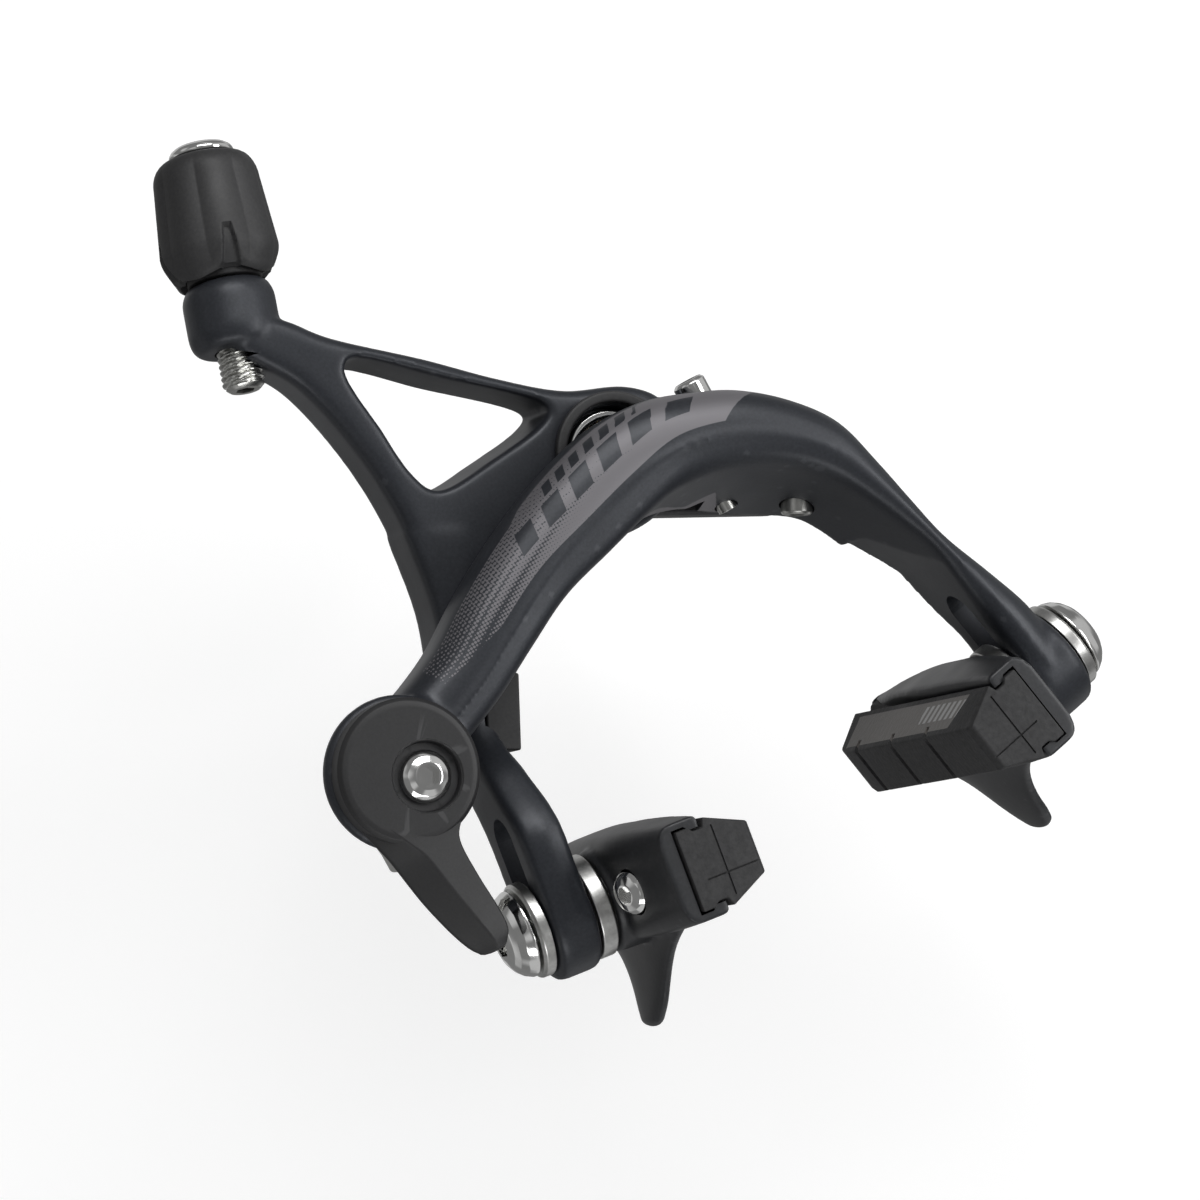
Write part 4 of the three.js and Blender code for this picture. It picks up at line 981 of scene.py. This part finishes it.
def build_hardware():
    mounting, front_body, rear_body = "mounting", "front_arm_body", "rear_arm_body"

    def fit_ring(node, inner, outer, base, length, soft, body, slot):
        place(ring(node + "_fine", inner, outer, base, length, BACK, soft=soft), body, slot, node)

    bolt = turned("centre_bolt_turned",
                  [(0, 0), (2.6, 0), (3, 0.4), (3, 2.4), (4, 2.5), (4, 9.9), (3, 10), (3, 43.4), (2.4, 44),
                   (0, 44)],
                  (0, -17.6, 0), BACK)
    place(bolt, mounting, "steel", "centre_bolt")
    cap = socket_screw("pivot_cap_turned", [(0, 0), (3.2, 0), (3.7, 0.4), (3.7, 0.6), (0, 0.6)],
                       (0, -18.4, 0), BACK, 1.5, 0.3, soft=0.08)
    place(cap, mounting, "black_plastic", "pivot_cap_nut")
    fit_ring("nose_ring", 4.25, 5.45, (0, -17.9, 0), 1.8, 0.35, mounting, "chrome")
    fit_ring("rear_thrust_washer", 4.3, 7.4, (0, -7.9, 0), 0.4, 0.1, mounting, "bronze")
    fit_ring("arm_thrust_washer", 6.2, 7.6, (0, -19.85, 0), 1.2, 0.4, mounting, "black_plastic")
    star = ring("serrated_washer_fine", 3.15, 7, (0, -2.6, 0), 2.6, BACK, soft=0.25)
    teeth = []
    for k in range(12):
        t = 2 * math.pi * k / 12
        u = Vector((math.cos(t), 0, math.sin(t)))
        axes = (u, Vector(BACK), u.cross(Vector(BACK)))
        teeth.append(box("tooth", (3.4, 0.6, 0.6), u * 5.4 + Vector((0, -2.6, 0)), axes))
    cut(star, *teeth)
    place(star, mounting, "steel", "serrated_washer")
    px, pz = PIVOT
    place(turned("side_pivot_pin_turned", [(0, 0), (2.2, 0), (2.5, 0.3), (2.5, 17.8), (2.2, 18.1), (0, 18.1)],
                 (px, -20.7, pz), BACK), mounting, "steel", "side_pivot_pin")
    fit_ring("side_thrust_washer", 2.8, 4.8, (px, -12.05, pz), 0.45, 0.1, mounting, "bronze")
    fit_ring("pivot_bush", 2.75, 3.55, (px, -20.9, pz), 8.4, 0.1, front_body, "bronze")
    fit_ring("rear_arm_bush", 4.25, 5.15, (0, -15.6, 0), 7.4, 0.1, rear_body, "bronze")
    place(socket_screw("centring_screw_turned",
                       [(0, 0), (1.7, 0), (2.1, 0.4), (2.1, 2.6), (2, 2.8), (2, 3.4), (0.9, 4.2), (0, 4.2)],
                       (13.6, -17.2, 3.1), (0, 0, -1), 1.1, 1.6), front_body, "steel", "centring_screw",
          material="chrome")
    place(socket_screw("lower_screw_turned", [(0, 0), (1.25, 0), (1.25, 5.1), (0.85, 5.4), (0, 5.4)],
                       (10.3, -17, -13.6), (0, 0, 1), 0.7, 1.2), front_body, "steel", "lower_sync_screw")
    grub_axis = Vector((px - 17.9, 0, pz + 18.4)).normalized()
    place(socket_screw("pivot_grub_screw_turned", [(0, 0), (1.7, 0), (2, 0.3), (2, 3.2), (0, 3.2)],
                       (17.9, -17.2, -18.4), grub_axis, 1.1, 1.5), front_body, "steel", "pivot_grub_screw")

    # The bracket's outline: an arc round each of its two holes, joined by their tangents.
    big, small = 7, 6.2
    span, heading = math.hypot(px, pz), math.atan2(pz, px)
    lean = math.asin((big - small) / span)
    outline = []
    for k in range(41):
        t = heading + math.pi / 2 - lean + (math.pi + 2 * lean) * k / 40
        outline.append((big * math.cos(t), big * math.sin(t)))
    for k in range(33):
        t = heading - math.pi / 2 + lean + (math.pi - 2 * lean) * k / 32
        outline.append((px + small * math.cos(t), pz + small * math.sin(t)))
    link = plate("pivot_bracket_fine", outline, -7.4, -2.8)
    bevel(link, 0.7, 4)
    fuse(link, rod("collar", 5, (px, -11.4, pz), 5, BACK, soft=0.3))
    cut(link, rod("bolt_hole", 3.15, (0, -10, 0), 12, BACK), rod("pin_hole", 2.65, (px, -12, pz), 14, BACK))
    place(link, mounting, "steel", "pivot_bracket", material="dark_steel")

    route = [(-27.9, -19.6), (-21, -13), (-13.6, -6.4), (-8.4, -0.6), (-6, 5.6), (0, 8.1), (6.5, 5.5),
             (13, 1.7), (19, -2.2), (23.6, -4.5), (27.7, -7.9), (30.3, -13), (31.2, -17.5), (30.6, -21.6),
             (29.6, -25.6)]
    path = [Vector((p[0], -5.2, p[1])) for p in smooth_track(route, 8)]
    wire, turns = 0.8, [2 * math.pi * j / 20 for j in range(20)]
    rings = []
    for k, p in enumerate(path):
        ahead = (path[min(k + 1, len(path) - 1)] - path[max(k - 1, 0)]).normalized()
        side = ahead.cross(Vector(BACK))
        rings.append([p + side * (wire * math.cos(t)) + Vector(BACK) * (wire * math.sin(t)) for t in turns])
    spring = loft("return_spring_wire", rings)
    place(spring, mounting, "steel", "return_spring", material="dark_steel")

    def slider(node, size, centre, degrees, body, ribs):
        axes = leaning(degrees)
        block = box(node + "_ribbed", size, centre, axes)
        bevel(block, 0.3, 3)
        tools = []
        for k in range(ribs):
            y = -size[1] / 2 + 0.7 + k * (size[1] - 1.4) / (ribs - 1)
            at = Vector(centre) + axes[0] * (size[0] / 2) + axes[1] * y
            tools.append(box("rib", (0.7, 0.32, size[2] + 2), at, axes))
        if node.startswith("right"):
            tools.append(rod("wire_room", 1.2, (32, -5.2, -12), 16, (-0.16, 0, -1)))
        cut(block, *tools)
        place(block, body, "black_plastic", node)

    slider("left_spring_slider", (4.4, 9.6, 9.6), (-28.7, -14, -21.2), 28, rear_body, 14)
    slider("right_spring_slider", (5, 5.6, 8), (29.2, -9, -24), -14, front_body, 8)


build_hardware()


# ---------- camera, light and table ----------

AZIMUTH, ELEVATION, ROLL = -17.8, 4.2, 28.6
DISTANCE = 0.9
TARGET = Vector((0, -0.015, 0))
az, el, roll = (math.radians(a) for a in (AZIMUTH, ELEVATION, ROLL))
TO_CAMERA = Vector((math.sin(az) * math.cos(el), -math.cos(az) * math.cos(el), math.sin(el)))
level = (-TO_CAMERA).cross(Vector((0, 0, 1))).normalized()
upright = level.cross(-TO_CAMERA)
RIGHT = level * math.cos(roll) - upright * math.sin(roll)
UP = level * math.sin(roll) + upright * math.cos(roll)
AIM_LEFT, AIM_DOWN = 0.0005, 0.0181
AIM = TARGET - RIGHT * AIM_LEFT - UP * AIM_DOWN
TABLE_GAP = 0.002


def looking(direction, up):
    z = direction.normalized()
    x = up.cross(z).normalized()
    return Matrix((x, z.cross(x), z)).transposed().to_4x4()


camera = bpy.data.objects.new("camera", bpy.data.cameras.new("camera"))
camera.data.lens = 216
camera.data.sensor_width = 36
camera.data.clip_start, camera.data.clip_end = 0.05, 20
camera.matrix_world = Matrix.Translation(AIM + TO_CAMERA * DISTANCE) @ looking(TO_CAMERA, UP)
bpy.context.scene.collection.objects.link(camera)
bpy.context.scene.camera = camera


def softbox(name, right, up, out, size, power):
    light = bpy.data.lights.new(name, "AREA")
    light.shape = "RECTANGLE"
    light.size, light.size_y = size
    light.energy = power
    obj = bpy.data.objects.new(name, light)
    where = RIGHT * right + UP * up + TO_CAMERA * out
    obj.matrix_world = Matrix.Translation(TARGET + where) @ looking(where, UP)
    bpy.context.scene.collection.objects.link(obj)


softbox("key_softbox", 0.1, 0.65, 0.55, (0.7, 0.4), 4.5)
softbox("right_softbox", 0.7, 0.15, 0.4, (0.3, 0.6), 3.0)
softbox("low_softbox", 0.0, -0.7, 0.45, (0.7, 0.25), 1.6)

world = bpy.data.worlds.new("studio")
bpy.context.scene.world = world
world.use_nodes = True
sky, background = world.node_tree, world.node_tree.nodes["Background"]
background.inputs[0].default_value = (1, 1, 1, 1)
# Soft bright and dark areas all round, for the plated parts to reflect.
panels = add(sky.nodes, "TexNoise", {"Scale": 1.6, "Detail": 0.0})
fade = add(sky.nodes, "MapRange", {"From Min": 0.42, "From Max": 0.58, "To Min": 0.20, "To Max": 0.52},
           interpolation_type="SMOOTHSTEP")
sky.links.new(add(sky.nodes, "TexCoord").outputs["Generated"], panels.inputs["Vector"])
sky.links.new(panels.outputs[0], fade.inputs["Value"])
sky.links.new(fade.outputs[0], background.inputs[1])
bpy.context.scene.view_settings.view_transform = "Standard"


def seen_only(obj):
    """Shown to the camera, but it neither lights the object nor shows in its reflections."""
    for kind in ("diffuse", "glossy", "transmission", "shadow"):
        setattr(obj, "visible_" + kind, False)


def build_table():
    """The pale table top that the caliper lies on in the picture: it faces the camera, behind the object."""
    lift = max(-TO_CAMERA.dot(Vector(corner)) for corner in itertools.product(*zip(*CAD_BOX)))
    bm = bmesh.new()
    bmesh.ops.create_grid(bm, x_segments=24, y_segments=24, size=1.2)
    table = from_bmesh("table_top", bm)
    table.matrix_world = Matrix.Translation(-TO_CAMERA * (lift + TABLE_GAP)) @ looking(TO_CAMERA, UP)
    mat, nodes, links = new_material("table_white")
    bsdf = nodes["Principled BSDF"]
    for name, value in {"Base Color": (0.6, 0.6, 0.6, 1), "Roughness": 0.8, "Specular IOR Level": 0.1,
                        "Emission Color": (1, 1, 1, 1), "Emission Strength": 0.5}.items():
        bsdf.inputs[name].default_value = value
    mix = add(nodes, "MixShader")
    links.new(add(nodes, "NewGeometry").outputs["Backfacing"], mix.inputs[0])
    links.new(bsdf.outputs[0], mix.inputs[1])
    links.new(add(nodes, "BsdfTransparent").outputs[0], mix.inputs[2])
    links.new(mix.outputs[0], nodes["Material Output"].inputs[0])
    table.data.materials.append(mat)
    seen_only(table)


def build_backdrop():
    """A pale dome far behind everything, for the views from other sides."""
    bm = bmesh.new()
    bmesh.ops.create_uvsphere(bm, u_segments=48, v_segments=24, radius=6)
    dome = from_bmesh("backdrop_dome", bm)
    mat, nodes, links = new_material("backdrop_pale")
    nodes.remove(nodes["Principled BSDF"])
    glow = add(nodes, "Emission", {"Color": (0.86, 0.86, 0.86, 1)})
    links.new(glow.outputs[0], nodes["Material Output"].inputs[0])
    dome.data.materials.append(mat)
    seen_only(dome)


build_table()
build_backdrop()

bpy.context.view_layer.update()
